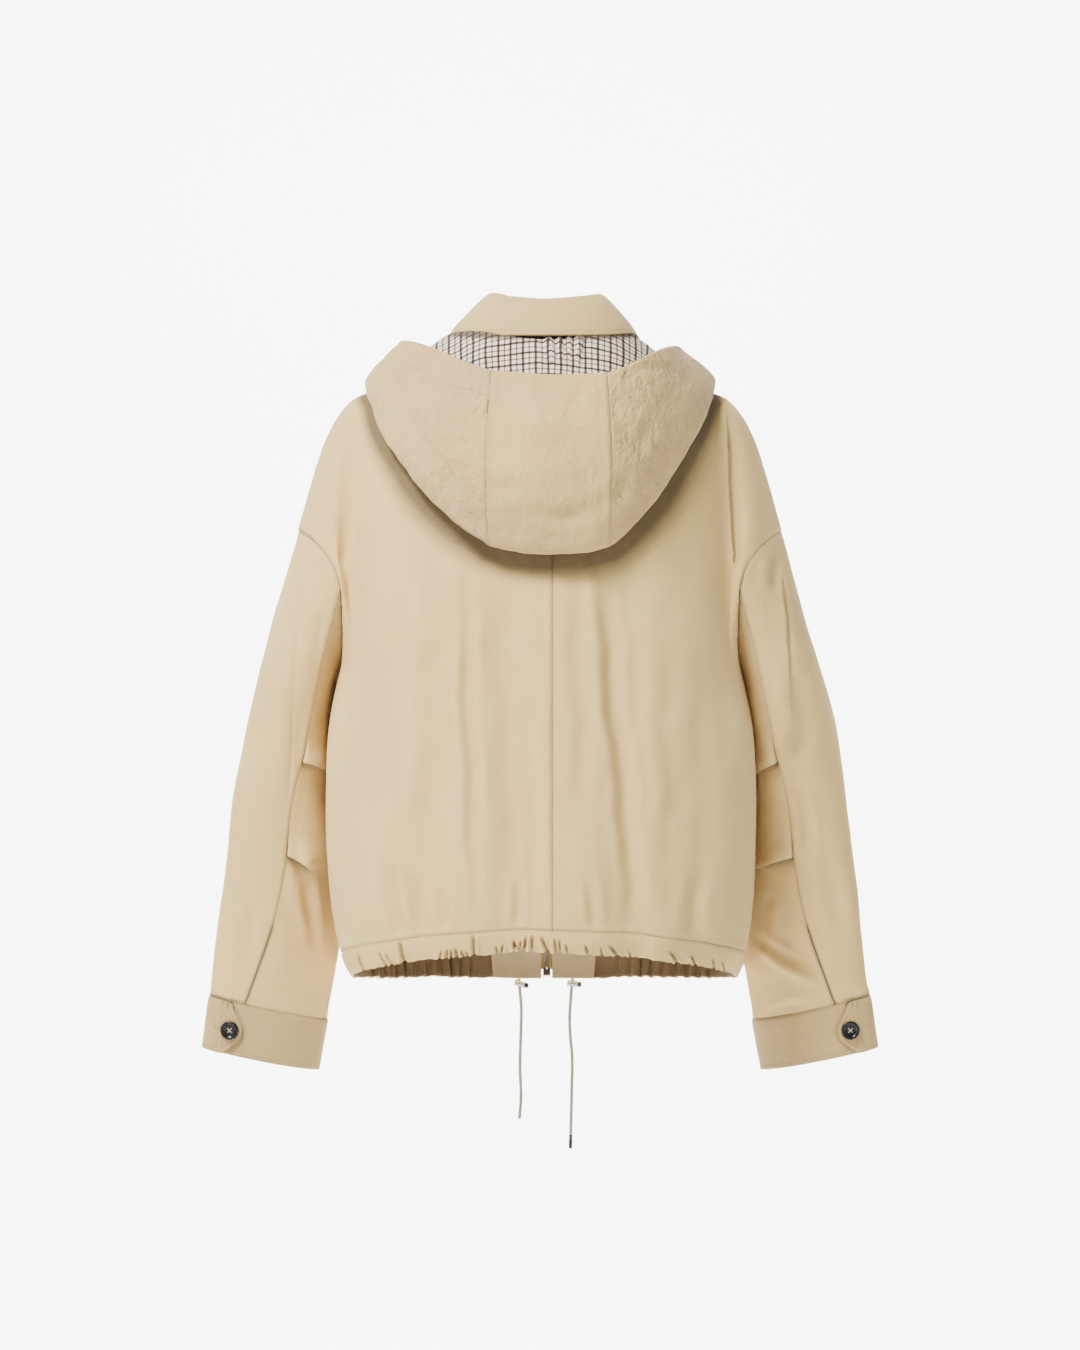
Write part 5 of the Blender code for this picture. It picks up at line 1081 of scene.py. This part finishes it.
def cotton(name, seam_rows=(0.0018,), edge_rows=(), crinkle=0.0009, size=1.0, dull=SHELL_DULL_AND_SHADE, base=SHELL, **depths):
    """Beige cotton with rows of stitches beside its seams and free edges. depths says how dark each of these is:
    its seam lines and edge lines, both painted shade, and its darkening all over."""
    dark = {"seam": 0.75, "edge": 0.0, "shade": 0.0, **depths}
    made, tree, shader, place = new_material(name, Roughness=0.88, Specular_IOR_Level=0.22, Sheen_Weight=0.10)
    cloth, seams, edges = (map_socket(tree, label) for label in ("cloth", "seams", "edges"))
    weave = use_group(tree, WEAVE, Cloth=cloth)
    wrinkles = use_group(tree, CRINKLE, Place=place, Size=size)["Height"]
    relief = number_map(tree, "relief")
    patches = noise_at(tree, place, 7.0, 3.0, 0.6)
    colour = blend(tree, maths(tree, "MULTIPLY_ADD", patches, 2.0, -0.7, clamp=True), base, dull)
    # Painted highlight on ridges, then painted shade in troughs, both from the relief.
    colour = blend(tree, maths(tree, "MULTIPLY_ADD", relief, RIDGE_HIGHLIGHT, -0.05, clamp=True), colour, SHELL_PALE_AND_HIGHLIGHT)
    colour = blend(tree, maths(tree, "MULTIPLY", relief, TROUGH_SHADE, clamp=True), colour, SHELL_DULL_AND_SHADE)
    colour = blend(tree, maths(tree, "MULTIPLY_ADD", weave["Slubs"], 0.8, -0.28, clamp=True), colour, SHELL_PALE_AND_HIGHLIGHT)
    normal = bump(tree, wrinkles, crinkle)
    for distances, rows in ((seams, seam_rows), (edges, edge_rows)):
        for distance in rows:
            row = use_group(tree, STITCHES, Seams=distances, Distance=distance)
            # The dent beside the stitches is darkened: painted shade.
            colour = blend(tree, maths(tree, "MULTIPLY", row["Dent"], 0.30), colour, THREAD_AND_DENT_SHADE)
            colour = blend(tree, maths(tree, "MULTIPLY", row["Thread"], 0.75), colour, THREAD_AND_DENT_SHADE)
            normal = bump(tree, maths(tree, "SUBTRACT", row["Thread"], row["Dent"]), 0.0003, normal)
    # Painted shade along the groove of each seam and along each free edge.
    for distances, label in ((seams, "seam"), (edges, "edge")):
        if dark[label]:
            _, away = split(tree, distances)
            line = maths(tree, "SUBTRACT", 1.0, maths(tree, "DIVIDE", away, SEAM_LINE), clamp=True)
            colour = blend(tree, maths(tree, "MULTIPLY", line, dark[label]), colour, CREVICE)
    # The whole piece darkened all over: painted shade on the stand, the cuffs and the inside of the cloth; on the hood,
    # collar and tape it only makes the cloth darker.
    if dark["shade"]:
        colour = blend(tree, maths(tree, "MULTIPLY_ADD", patches, 0.2, dark["shade"]), colour, CREVICE)
    # Painted shade where cloth lies close over cloth, from the number stored on the skin.
    colour = blend(tree, number_map(tree, "painted_shade"), colour, SHADED)
    normal = bump(tree, weave["Height"], 0.00006, normal, 0.6)
    tree.links.new(colour, shader.inputs["Base Color"])
    tree.links.new(normal, shader.inputs["Normal"])
    return made


# %% [markdown]
# ## The checked lining
#
# Inside the hood is a thin cotton with a small tattersall check: bold dark lines about 12 mm apart both ways, with
# a finer line halfway between them, on a cream ground. The lines are charted here from those spacings. A woven line
# is darkest where warp and weft cross, so the two directions are multiplied.

# %% Lining material
CHECK = {"across": 0.0118, "along": 0.0126, "bold": 0.0024, "fine": 0.0015, "bent": 0.0040}
CREAM, BROWN = (0.80, 0.68, 0.53), (0.030, 0.013, 0.010)


def check_group():
    """How much of a set of woven lines covers a point: most on a bold line, less on a fine one."""
    sizes = [("Spacing", "Float", CHECK["along"]), ("Bold", "Float", CHECK["bold"]), ("Fine", "Float", CHECK["fine"])]
    group, given, out = new_group("woven_lines", [("At", "Float", 0.0), *sizes], ["Cover"])
    covers = []
    for shift, width, strength in ((0.0, given["Bold"], 0.93), (0.5, given["Fine"], 0.78)):
        step = maths(group, "FRACT", maths(group, "ADD", maths(group, "DIVIDE", given["At"], given["Spacing"]), shift))
        off = maths(group, "MULTIPLY", maths(group, "ABSOLUTE", maths(group, "SUBTRACT", step, 0.5)), given["Spacing"])
        inside = maths(group, "SUBTRACT", maths(group, "MULTIPLY", width, 0.5), off)
        edge = maths(group, "MULTIPLY_ADD", inside, 3500.0, 0.5, clamp=True)
        covers.append(maths(group, "MULTIPLY", edge, strength))
    group.links.new(maths(group, "MAXIMUM", *covers), out["Cover"])
    return group


def lining_material():
    made, tree, shader, place = new_material("checked_lining", Roughness=0.9, Specular_IOR_Level=0.2)
    cloth = map_socket(tree, "cloth")
    lines, bend = check_group(), noise_at(tree, place, 22.0)
    across, along = split(tree, cloth)
    left = []
    for at, spacing in ((across, CHECK["across"]), (along, CHECK["along"])):
        bent = maths(tree, "MULTIPLY_ADD", bend, CHECK["bent"], at)
        cover = use_group(tree, lines, At=bent, Spacing=spacing)["Cover"]
        left.append(maths(tree, "SUBTRACT", 1.0, cover))
    colour = blend(tree, maths(tree, "MULTIPLY", *left), BROWN, CREAM)
    # Painted shade under the collar, from the number stored on the skin.
    colour = blend(tree, number_map(tree, "painted_shade"), colour, SHADED)
    wrinkles = use_group(tree, CRINKLE, Place=place, Size=1.5)["Height"]
    weave = use_group(tree, WEAVE, Cloth=cloth)["Height"]
    normal = bump(tree, weave, 0.00005, bump(tree, wrinkles, 0.0016), 0.6)
    tree.links.new(colour, shader.inputs["Base Color"])
    tree.links.new(normal, shader.inputs["Normal"])
    return made


HOOD_CLOTH = {"dull": HOOD_DULL, "seam": 0.4, "shade": 0.09}
FINISHES = {
    "body": cotton("beige_cotton"),
    "casing": cotton("casing_cotton", seam_rows=(0.0015,), seam=0.25),
    # The cuffs are darkened all over with painted shade, as the lower sleeves get less light; their edge lines are
    # painted shade too.
    "cuff": cotton("cuff_cotton", (0.0016,), (0.0040,), dull=HOOD_DULL, seam=0.6, edge=0.6, shade=0.30),
    "hood": cotton("hood_cotton", (0.0022,), (0.0250,), crinkle=0.0062, size=1.9, **HOOD_CLOTH),
    "hood_middle": cotton("hood_middle_cotton", (0.0022,), crinkle=0.0030, size=1.3, **HOOD_CLOTH),
    "collar": cotton("collar_cotton", (), (0.0048,), crinkle=0.0005, edge=0.5, shade=0.10),
    # The stand is darkened all over: painted shade under the collar's fall.
    "stand": cotton("stand_cotton", (), crinkle=0.0005, shade=0.60),
    # The facing is the shell's cotton made paler: painted light where it shows beneath the hem.
    "inside": cotton("facing_cotton", (), base=(0.80, 0.60, 0.32), dull=(0.74, 0.54, 0.28)),
    # The inside of the body cloth is darkened all over: painted shade inside the jacket.
    "inner_side_shade": cotton("inner_side_painted_shade", (), dull=HOOD_DULL, shade=0.68),
    "tape": cotton("tape_weave", (), crinkle=0.0002, shade=0.15),
    "lining": lining_material(),
}


# %% Giving the skins thickness
def wall_depth(node):
    if node == "hood_lining":
        return 0.0010
    if node.startswith(("cuff", "casing")):
        return 0.0024
    return 0.0022 if node.startswith("collar") else 0.0014


def hand_over(node, piece, finish):
    """The piece stands for its solid: it joins the jacket, and its solid is hidden."""
    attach(piece, JACKET)
    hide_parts(node)
    area = sum(f.area for f in piece.data.polygons) / 2
    print(f"{node:20s} {finish:12s} faces {len(piece.data.polygons):6d} area {area:.4f}")


# %% Finishing each skin
def finish_skin(node, skin):
    sewn, free = DISTANCES[node]
    add_map(skin, "cloth", grain_of(node, vectors_of(skin)))
    add_map(skin, "seams", sewn)
    add_map(skin, "edges", free)
    still = np.zeros(len(skin.data.vertices))
    # Each skin stores how far its points moved out, and how much painted shade they get.
    for name, values in (("relief", RELIEFS[node]), ("painted_shade", PAINTED_SHADE_BY_PIECE.get(node, still))):
        skin.data.attributes.new(name, "FLOAT", "POINT").data.foreach_set("value", values)
    thick = skin.modifiers.new("thickness", "SOLIDIFY")
    thick.thickness = wall_depth(node)
    thick.offset = -1
    made = PIECES[node]
    skin.data.materials.append(FINISHES[made["finish"]])
    # The inner side of body and casing cloth gets the material with painted shade inside the jacket.
    if made["finish"] in ("body", "casing"):
        skin.data.materials.append(FINISHES["inner_side_shade"])
        thick.material_offset = 1
    apply_all(skin)
    hand_over(node, skin, made["finish"])


for node, skin in SKINS.items():
    finish_skin(node, skin)

# %% [markdown]
# ## Facings and zip tapes
#
# These lie flat behind the fronts, hidden except at the hem, and their solids are already thin and plain. They keep
# their own walls and get the cloth's weave. Each tape is sewn in between front and facing, so its outer edge is
# widened to reach under them.

# %% Facings and tapes
FLAT_PIECES = {
    "facing_left": ("inside", (0.065, 0.58, 0.030), "cotton_shell"),
    "facing_right": ("inside", (0.065, 0.58, 0.026), "cotton_shell"),
    "zip_tape_left": ("tape", (0.0100, 0.55, 0.0036), "zip_tape"),
    "zip_tape_right": ("tape", (0.0100, 0.55, 0.0036), "zip_tape"),
}
TAPE_TURNED_IN = 0.0035
for node, (finish, cut, slot) in FLAT_PIECES.items():
    piece = copy_of(node)
    bpy.ops.object.mode_set(mode="OBJECT")
    bpy.ops.object.shade_smooth_by_angle(angle=math.radians(40))
    points = vectors_of(piece)
    if finish == "tape":
        side = 1 if node.endswith("left") else -1
        points[side * (points[:, 0] - points[:, 0].mean()) > 0, 0] += side * TAPE_TURNED_IN
        place_points(piece, points)
    add_map(piece, "cloth", body_grain(points))
    for label in ("seams", "edges"):
        add_map(piece, label, np.ones((len(points), 2)))
    piece.data.materials.append(FINISHES[finish])
    hand_over(node, piece, finish)

# %% [markdown]
# ## Horn and metal
#
# The small hard parts catch sharp glints, so their finish matters more than their size. Horn is nearly black with
# faint grain and a polish that wear has dulled here and there. The metal parts are plated and rubbed brighter in
# random patches. Both are made from one recipe: a base colour, a worn colour, and how rough each is.


# %% Hard finishes
def hard_finish(name, base, worn, rough, grain, size, **settings):
    made, tree, shader, place = new_material(name, **settings)
    streaks = noise_at(tree, place, size, 4.0, 0.6, grain)
    rubbed = maths(tree, "MULTIPLY_ADD", noise_at(tree, place, size * 0.4, 3.0), 2.4, -0.8, clamp=True)
    colour = blend(tree, maths(tree, "MULTIPLY", streaks, rubbed), base, worn)
    tree.links.new(colour, shader.inputs["Base Color"])
    tree.links.new(maths(tree, "MULTIPLY_ADD", streaks, rough[1] - rough[0], rough[0]), shader.inputs["Roughness"])
    tree.links.new(bump(tree, streaks, 0.00004), shader.inputs["Normal"])
    return made


HORN = hard_finish(
    "polished_dark_horn", (0.004, 0.0035, 0.003), (0.018, 0.014, 0.011), (0.18, 0.36), (1, 1, 4), 500,
    Specular_IOR_Level=0.30,
)
PALE_METAL = hard_finish(
    "plated_pale_metal", (0.60, 0.56, 0.50), (0.80, 0.77, 0.72), (0.20, 0.46), (1, 6, 1), 700, Metallic=1.0
)
DARK_METAL = hard_finish(
    "blackened_metal", (0.050, 0.044, 0.040), (0.20, 0.18, 0.16), (0.22, 0.50), (1, 1, 6), 700, Metallic=1.0
)
THREAD_FINISH = hard_finish(
    "sewing_thread", (0.50, 0.38, 0.22), (0.66, 0.54, 0.36), (0.75, 0.95), (1, 1, 3), 900, Specular_IOR_Level=0.2
)


# %% Turning, placing and joining
def turned(name, outline, sides=40):
    """A piece turned as on a lathe: a disc, extruded step by step along its outline of (radius, height)."""
    radius, height = outline[0]
    bpy.ops.object.select_all(action="DESELECT")
    bpy.ops.mesh.primitive_circle_add(vertices=sides, radius=radius, fill_type="NGON", location=(0, 0, height))
    piece = settle(bpy.context.object)
    piece.name = name
    bpy.ops.object.mode_set(mode="EDIT")
    bpy.ops.mesh.select_all(action="SELECT")
    for (before, low), (after, high) in zip(outline, outline[1:]):
        bpy.ops.mesh.extrude_region_move(TRANSFORM_OT_translate={"value": (0, 0, high - low)})
        bpy.ops.transform.resize(value=(after / before, after / before, 1), center_override=(0, 0, high))
    bpy.ops.mesh.select_all(action="SELECT")
    bpy.ops.mesh.normals_make_consistent(inside=False)
    bpy.ops.object.mode_set(mode="OBJECT")
    bpy.ops.object.shade_smooth_by_angle(angle=math.radians(38))
    return piece


def drill(piece, middle, radius, axis=(0, 0, 1), depth=0.03):
    """Bores a round hole through a piece."""
    bpy.ops.object.select_all(action="DESELECT")
    turn = Vector(axis).to_track_quat("Z", "Y").to_euler()
    bpy.ops.mesh.primitive_cylinder_add(vertices=24, radius=radius, depth=depth, location=middle, rotation=turn)
    bit = bpy.context.object
    hole = piece.modifiers.new("hole", "BOOLEAN")
    hole.object = bit
    apply_all(piece)
    bpy.data.objects.remove(bit)
    bpy.ops.object.shade_smooth_by_angle(angle=math.radians(38))
    return piece


def stand(piece, middle, out, up=(0, 0, 1)):
    """Moves a piece made at the origin to its place, with its own up turned to face out."""
    out = Vector(out).normalized()
    across = Vector(up).cross(out).normalized()
    piece.matrix_world = Matrix.LocRotScale(Vector(middle), Matrix((across, out.cross(across), out)).transposed(), None)
    return settle(piece)


def finish_part(piece, finish, body=JACKET, instead=None):
    piece.data.materials.clear()
    piece.data.materials.append(finish)
    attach(piece, body)
    if instead is not None:
        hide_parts(instead)
    return piece


# %% [markdown]
# ## Cuff buttons and buttonholes
#
# Each cuff closes with a dark four-hole button about 18 mm across: a raised, rounded rim round a shallow dish, sewn
# on with a cross of pale thread. Such a button is turned and then drilled, and that is how it is made here. The end
# of a worked buttonhole, a dense bar of stitches round a slit, shows beside it.

# %% The buttons
BUTTON_OUTLINE = (
    (0.0074, 0.0000), (0.0084, 0.0003), (0.0090, 0.0010), (0.0092, 0.0018), (0.0090, 0.0026), (0.0084, 0.0032),
    (0.0077, 0.0034), (0.0070, 0.0033), (0.0063, 0.0028), (0.0057, 0.0022), (0.0050, 0.0019), (0.0002, 0.0018),
)
BUTTON_SEAT = {"x": 0.3013, "y": -0.0410, "z": -0.6481}
BUTTON_OUT = {"x": 0.122, "y": 0.990, "z": -0.075}
HOLE_SPREAD, HOLE_RADIUS = 0.0019, 0.00085


def mirrored(values, side):
    return Vector((side * values["x"], values["y"], values["z"]))


def sewing_cross():
    """Two loops of thread across the holes, each a flattened half ring."""
    loops = []
    for turn in (45, 135):
        bpy.ops.mesh.primitive_torus_add(
            major_radius=HOLE_SPREAD * 1.41, minor_radius=0.00042, major_segments=24, minor_segments=8,
            rotation=(math.pi / 2, 0, math.radians(turn)),
        )
        loop = settle(bpy.context.object)
        bpy.ops.object.mode_set(mode="EDIT")
        bpy.ops.mesh.select_all(action="SELECT")
        bpy.ops.mesh.bisect(plane_co=(0, 0, 0), plane_no=(0, 0, 1), clear_inner=True, use_fill=True)
        bpy.ops.object.mode_set(mode="OBJECT")
        loop.scale = (1, 1, 0.42)
        loop.location = (0, 0, 0.0014)
        loops.append(settle(loop))
    loops[0].select_set(True)
    bpy.ops.object.join()
    bpy.ops.object.shade_smooth()
    return bpy.context.object


def button(hand):
    side = 1 if hand == "left" else -1
    piece = turned("horn_button_" + hand, BUTTON_OUTLINE)
    for x in (-1, 1):
        for y in (-1, 1):
            drill(piece, (x * HOLE_SPREAD, y * HOLE_SPREAD, 0.0015), HOLE_RADIUS)
    thread = sewing_cross()
    thread.name = "button_thread_" + hand
    for part in (piece, thread):
        stand(part, mirrored(BUTTON_SEAT, side), mirrored(BUTTON_OUT, side))
    finish_part(piece, HORN, instead="button_" + hand)
    finish_part(thread, THREAD_FINISH)
    return piece


for hand in ("left", "right"):
    made = button(hand)
    size = (vectors_of(made).max(0) - vectors_of(made).min(0)) * 1000

# %% The buttonholes
STITCH_PITCH = 0.00042
HOLE_END = {"x": 0.0142, "z": 0.0030}  # the middle of the part that shows, from the button's middle
HOLE_LONG = 0.0062
BAR, BAR_FROM_SLIT = (STITCH_PITCH * 0.9, 0.0012, 0.0007), 0.00085
TACK = (0.0008, 0.0030, 0.0009)


def buttonhole(hand):
    """Bars of thread side by side above and below a slit, with a bar tack at its end."""
    side = 1 if hand == "left" else -1
    bars = []
    for up in (-1, 1):
        bpy.ops.mesh.primitive_cube_add(size=1, location=(-HOLE_LONG / 2, up * BAR_FROM_SLIT, 0))
        bar = bpy.context.object
        bar.scale = BAR
        settle(bar)
        row = bar.modifiers.new("row", "ARRAY")
        row.count = round(HOLE_LONG / STITCH_PITCH)
        row.use_relative_offset = False
        row.use_constant_offset = True
        row.constant_offset_displace = (STITCH_PITCH, 0, 0)
        bars.append(bar)
    bpy.ops.mesh.primitive_cube_add(size=1, location=(-side * HOLE_LONG / 2, 0, 0.00005))
    tack = bpy.context.object
    tack.scale = TACK
    bars.append(settle(tack))
    for bar in bars:
        soft = bar.modifiers.new("soft", "BEVEL")
        soft.width, soft.segments = 0.00016, 2
        apply_all(bar)
    for bar in bars:
        bar.select_set(True)
    bpy.ops.object.join()
    bpy.ops.object.shade_smooth()
    piece = bpy.context.object
    piece.name = "buttonhole_" + hand
    out = mirrored(BUTTON_OUT, side)
    across = Vector((side, 0, 0)) - out * out.x * side
    middle = mirrored(BUTTON_SEAT, side) + across.normalized() * HOLE_END["x"] + Vector((0, 0, HOLE_END["z"]))
    stand(piece, middle, out + Vector((side * 0.18, 0, 0)))
    return finish_part(piece, THREAD_FINISH)


HOLES = [buttonhole(hand) for hand in ("left", "right")]


# %% Setting the buttonholes on the cloth
def set_down(piece, cloth, proud):
    """Moves each point of a small piece onto the cloth below it, keeping its own height."""
    tree = BVHTree.FromObject(cloth, bpy.context.evaluated_depsgraph_get())
    points = vectors_of(piece)
    middle = Vector(points.mean(0))
    _, out, _, _ = tree.find_nearest(middle)
    for n, point in enumerate(points):
        spot, _, _, _ = tree.ray_cast(Vector(point) + out * 0.02, -out)
        if spot is not None:
            height = (Vector(point) - middle).dot(out)
            points[n] = spot + out * (max(height, -0.0001) + proud)
    place_points(piece, points)


for hand, piece in zip(("left", "right"), HOLES):
    set_down(piece, SKINS["cuff_" + hand], 0.0001)
    print(piece.name, "at", vectors_of(piece).mean(0).round(4))

# %% [markdown]
# ## Zip teeth
#
# A separating zip is closed below its slider: two rows of metal teeth lock into each other, each tooth a small
# blunt block clamped on its tape's edge. One tooth is modelled and bevelled, and then copied up each tape, with the
# right row half a step higher so that the rows mesh.

# %% One tooth, copied up both tapes
ZIP_MIDDLE, TOOTH_PITCH = -0.0068, 0.0023
TEETH_FROM, TEETH_TO = -0.5905, -0.0715
TOOTH, TOOTH_OUT = (0.0030, 0.0026, 0.0011), 0.00095  # a tooth's size, and how far from the zip's middle it sits
SLOPE_STEP = 0.001  # the tape's slope is read over this height


def tape_line(node):
    """The depth of a tape at each height, from its solid."""
    points = vectors_of(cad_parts[node])
    heights = np.unique(points[:, 2].round(3))
    depths = [points[np.abs(points[:, 2] - height) < 0.0008][:, 1].mean() for height in heights]
    return heights, np.array(depths)


def teeth_of(node, side):
    bpy.ops.object.select_all(action="DESELECT")
    bpy.ops.mesh.primitive_cube_add(size=1)
    tooth = bpy.context.object
    tooth.scale = TOOTH
    settle(tooth)
    soft = tooth.modifiers.new("soft", "BEVEL")
    soft.width, soft.segments = 0.00028, 2
    apply_all(tooth)
    heights, depths = tape_line(node)
    at = TEETH_FROM + (TOOTH_PITCH / 2 if side < 0 else 0)
    copies = [tooth]
    while at < TEETH_TO:
        depth, next_depth = np.interp([at, at + SLOPE_STEP], heights, depths)
        copy = tooth.copy()
        copy.data = tooth.data.copy()
        copy.location = (ZIP_MIDDLE + side * TOOTH_OUT, depth, at)
        copy.rotation_euler.x = math.atan2(next_depth - depth, SLOPE_STEP) * -1
        bpy.context.scene.collection.objects.link(copy)
        copies.append(copy)
        at += TOOTH_PITCH
    bpy.data.objects.remove(copies.pop(0))
    only(copies[0])
    for copy in copies[1:]:
        copy.select_set(True)
    bpy.ops.object.join()
    settle(bpy.context.object)
    bpy.ops.object.shade_smooth_by_angle(angle=math.radians(30))
    bpy.context.object.name = "teeth_" + node[-5:].strip("_")
    print(bpy.context.object.name, len(copies), "teeth")
    return finish_part(bpy.context.object, PALE_METAL)


for node, side in (("zip_tape_left", 1), ("zip_tape_right", -1)):
    teeth_of(node, side)

# %% [markdown]
# ## Slider, pull and box
#
# The slider runs on the teeth just below the collar, and its pull tab swings in a small bail. The box holds both
# tapes at the hem. Their solids already have the right shapes, with the bail and the tab's window cut, so they stay
# and only get the plated metal.

# %% Metal for the solids that stay
for node in ("zip_slider", "zip_pull", "zip_box"):
    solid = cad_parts[node]
    solid.data.materials.clear()
    solid.data.materials.append(PALE_METAL)

# %% [markdown]
# ## Cord locks and tip
#
# On each cord, just below the hem, sits a small metal barrel with a dark push button at its end: it grips the cord
# until the button is pressed. The right cord ends in a dark metal tip, pinched twice onto the braid. All are turned
# parts, so they are made as the buttons were.

# %% Locks, push buttons and tip
LOCKS = {"left": ((0.0204, -0.1235, -0.6072), 14), "right": ((-0.0317, -0.1232, -0.6072), 6)}
BARREL_OUTLINE = (
    (0.0024, -0.0050), (0.0031, -0.0050), (0.0035, -0.0046), (0.0035, -0.0038), (0.0032, -0.0035), (0.0032, 0.0033),
    (0.0035, 0.0036), (0.0035, 0.0046), (0.0031, 0.0050), (0.0020, 0.0050),
)
PUSH_OUTLINE = (
    (0.0024, 0.0051), (0.0027, 0.0054), (0.0027, 0.0080), (0.0025, 0.0087), (0.0020, 0.0091), (0.0010, 0.0093),
    (0.0001, 0.0093),
)
TIP_OUTLINE = (
    (0.0017, -0.0070), (0.0019, -0.0067), (0.0019, -0.0048), (0.0016, -0.0044), (0.0016, -0.0040), (0.0019, -0.0036),
    (0.0019, -0.0022), (0.0016, -0.0018), (0.0016, -0.0014), (0.0019, -0.0010), (0.0019, 0.0058), (0.0017, 0.0066),
    (0.0011, 0.0070),
)
ON_CORD = {"left": [], "right": []}
for hand, (middle, tilt) in LOCKS.items():
    axis = Vector((-math.cos(math.radians(tilt)), 0, -math.sin(math.radians(tilt))))
    barrel = stand(turned("lock_barrel_" + hand, BARREL_OUTLINE), middle, axis, up=(0, 1, 0))
    cord_way = Vector(CORD_POINTS[hand][3]) - Vector(CORD_POINTS[hand][1])
    drill(barrel, middle, CORD_RADIUS + 0.0003, cord_way)
    head = stand(turned("lock_push_" + hand, PUSH_OUTLINE), middle, axis, up=(0, 1, 0))
    ON_CORD[hand] += [
        finish_part(barrel, PALE_METAL, instead="cord_lock_" + hand),
        finish_part(head, DARK_METAL, instead="cord_lock_button_" + hand),
    ]
low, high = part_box("cord_tip_right")
along = Vector(CORD_POINTS["right"][-2]) - Vector(CORD_POINTS["right"][-1])
tip = stand(turned("crimped_tip", TIP_OUTLINE), (Vector(low) + Vector(high)) / 2, -along, up=(0, 1, 0))
ON_CORD["right"].append(finish_part(tip, DARK_METAL, instead="cord_tip_right"))
print("on the cords:", [piece.name for pieces in ON_CORD.values() for piece in pieces])

# %% The cords join the jacket in place of their solids
for hand, piece in CORDS.items():
    points = CORD_POINTS[hand]
    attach(piece, JACKET)
    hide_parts("cord_" + hand)

# %% [markdown]
# ## Floor and light
#
# The floor is one pale sheet that sweeps up behind the jacket, so no corner shows. A wide light between the jacket
# and the sweep makes it white. The sheet is clear from its back, so the jacket can be looked at from the front too.
# The jacket's own light is soft and comes mostly from above, which leaves a soft shadow under the hood; painted shade
# in the cloth's colour deepens it.

# %% The floor
FLOOR_Z = -1.15
SWEEP_RADIUS = 1.5
SWEEP_Y = -1.2
PAPER_SIZE, PAPER_RISE = 14, 5

bpy.ops.mesh.primitive_plane_add(size=PAPER_SIZE, location=(0, SWEEP_Y + PAPER_SIZE / 2, FLOOR_Z))
floor = settle(bpy.context.object)
floor.name = "floor"
bpy.ops.object.mode_set(mode="EDIT")
bpy.ops.mesh.select_mode(type="EDGE")
bpy.ops.mesh.select_all(action="DESELECT")
shape = bmesh.from_edit_mesh(floor.data)
for edge in shape.edges:
    edge.select_set(all(v.co.y < SWEEP_Y + 0.01 for v in edge.verts))
bmesh.update_edit_mesh(floor.data)
bpy.ops.mesh.spin(steps=24, angle=math.pi / 2, center=(0, SWEEP_Y, FLOOR_Z + SWEEP_RADIUS), axis=(1, 0, 0))
bpy.ops.mesh.extrude_region_move(TRANSFORM_OT_translate={"value": (0, 0, PAPER_RISE)})
shape = bmesh.from_edit_mesh(floor.data)
for face in shape.faces:
    if face.normal.y + face.normal.z < 0:
        face.normal_flip()
bmesh.update_edit_mesh(floor.data)
bpy.ops.object.mode_set(mode="OBJECT")
bpy.ops.object.shade_smooth()
paper, tree, shader, place = new_material("studio_paper", Roughness=0.95, Specular_IOR_Level=0.1)
colour = blend(tree, noise_at(tree, place, 3.0), (0.90, 0.90, 0.90), (0.92, 0.92, 0.92))
tree.links.new(colour, shader.inputs["Base Color"])
clear, one_sided = tree.nodes.new("ShaderNodeBsdfTransparent"), tree.nodes.new("ShaderNodeMixShader")
tree.links.new(tree.nodes.new("ShaderNodeNewGeometry").outputs["Backfacing"], one_sided.inputs["Fac"])
tree.links.new(shader.outputs["BSDF"], one_sided.inputs[1])
tree.links.new(clear.outputs["BSDF"], one_sided.inputs[2])
tree.links.new(one_sided.outputs["Shader"], tree.nodes["Material Output"].inputs["Surface"])
floor.data.materials.append(paper)
print("floor from", vectors_of(floor).min(0).round(2), "to", vectors_of(floor).max(0).round(2))


# %% The lights
COOL = (0.88, 0.95, 1.0)


def lit_box(place, target, size, power, tint=(1, 1, 1)):
    bpy.ops.object.light_add(type="AREA", location=place)
    lamp = bpy.context.object
    lamp.data.shape = "RECTANGLE"
    lamp.data.size, lamp.data.size_y = size
    lamp.data.energy, lamp.data.color = power, tint
    lamp.visible_camera = False
    lamp.rotation_euler = (Vector(target) - Vector(place)).to_track_quat("-Z", "Y").to_euler()


lit_box((1.35, 2.0, 2.4), (0, 0.1, -0.15), (1.0, 0.8), 330)  # the main light, above and to one side
lit_box((3.0, 3.4, 0.2), (0, 0, -0.3), (1.6, 2.4), 34, COOL)
lit_box((-3.0, 3.0, -0.2), (0, 0, -0.4), (1.6, 2.4), 30, COOL)
lit_box((0, -0.75, 0.5), (0, -2.7, -0.4), (4.0, 2.6), 470)  # between the jacket and the sweep

# %% The air: dim and cool for the cloth, white where the camera looks past it
world = bpy.data.worlds.new("studio_air")
world.use_nodes = True
air = world.node_tree
air.nodes["Background"].inputs["Color"].default_value = (*COOL, 1)
air.nodes["Background"].inputs["Strength"].default_value = 0.30
seen, either = air.nodes.new("ShaderNodeBackground"), air.nodes.new("ShaderNodeMixShader")
seen.inputs["Color"].default_value = (1, 1, 1, 1)
seen.inputs["Strength"].default_value = 2.0
air.links.new(air.nodes.new("ShaderNodeLightPath").outputs["Is Camera Ray"], either.inputs["Fac"])
air.links.new(air.nodes["Background"].outputs["Background"], either.inputs[1])
air.links.new(seen.outputs["Background"], either.inputs[2])
air.links.new(either.outputs["Shader"], air.nodes["World Output"].inputs["Surface"])
bpy.context.scene.world = world
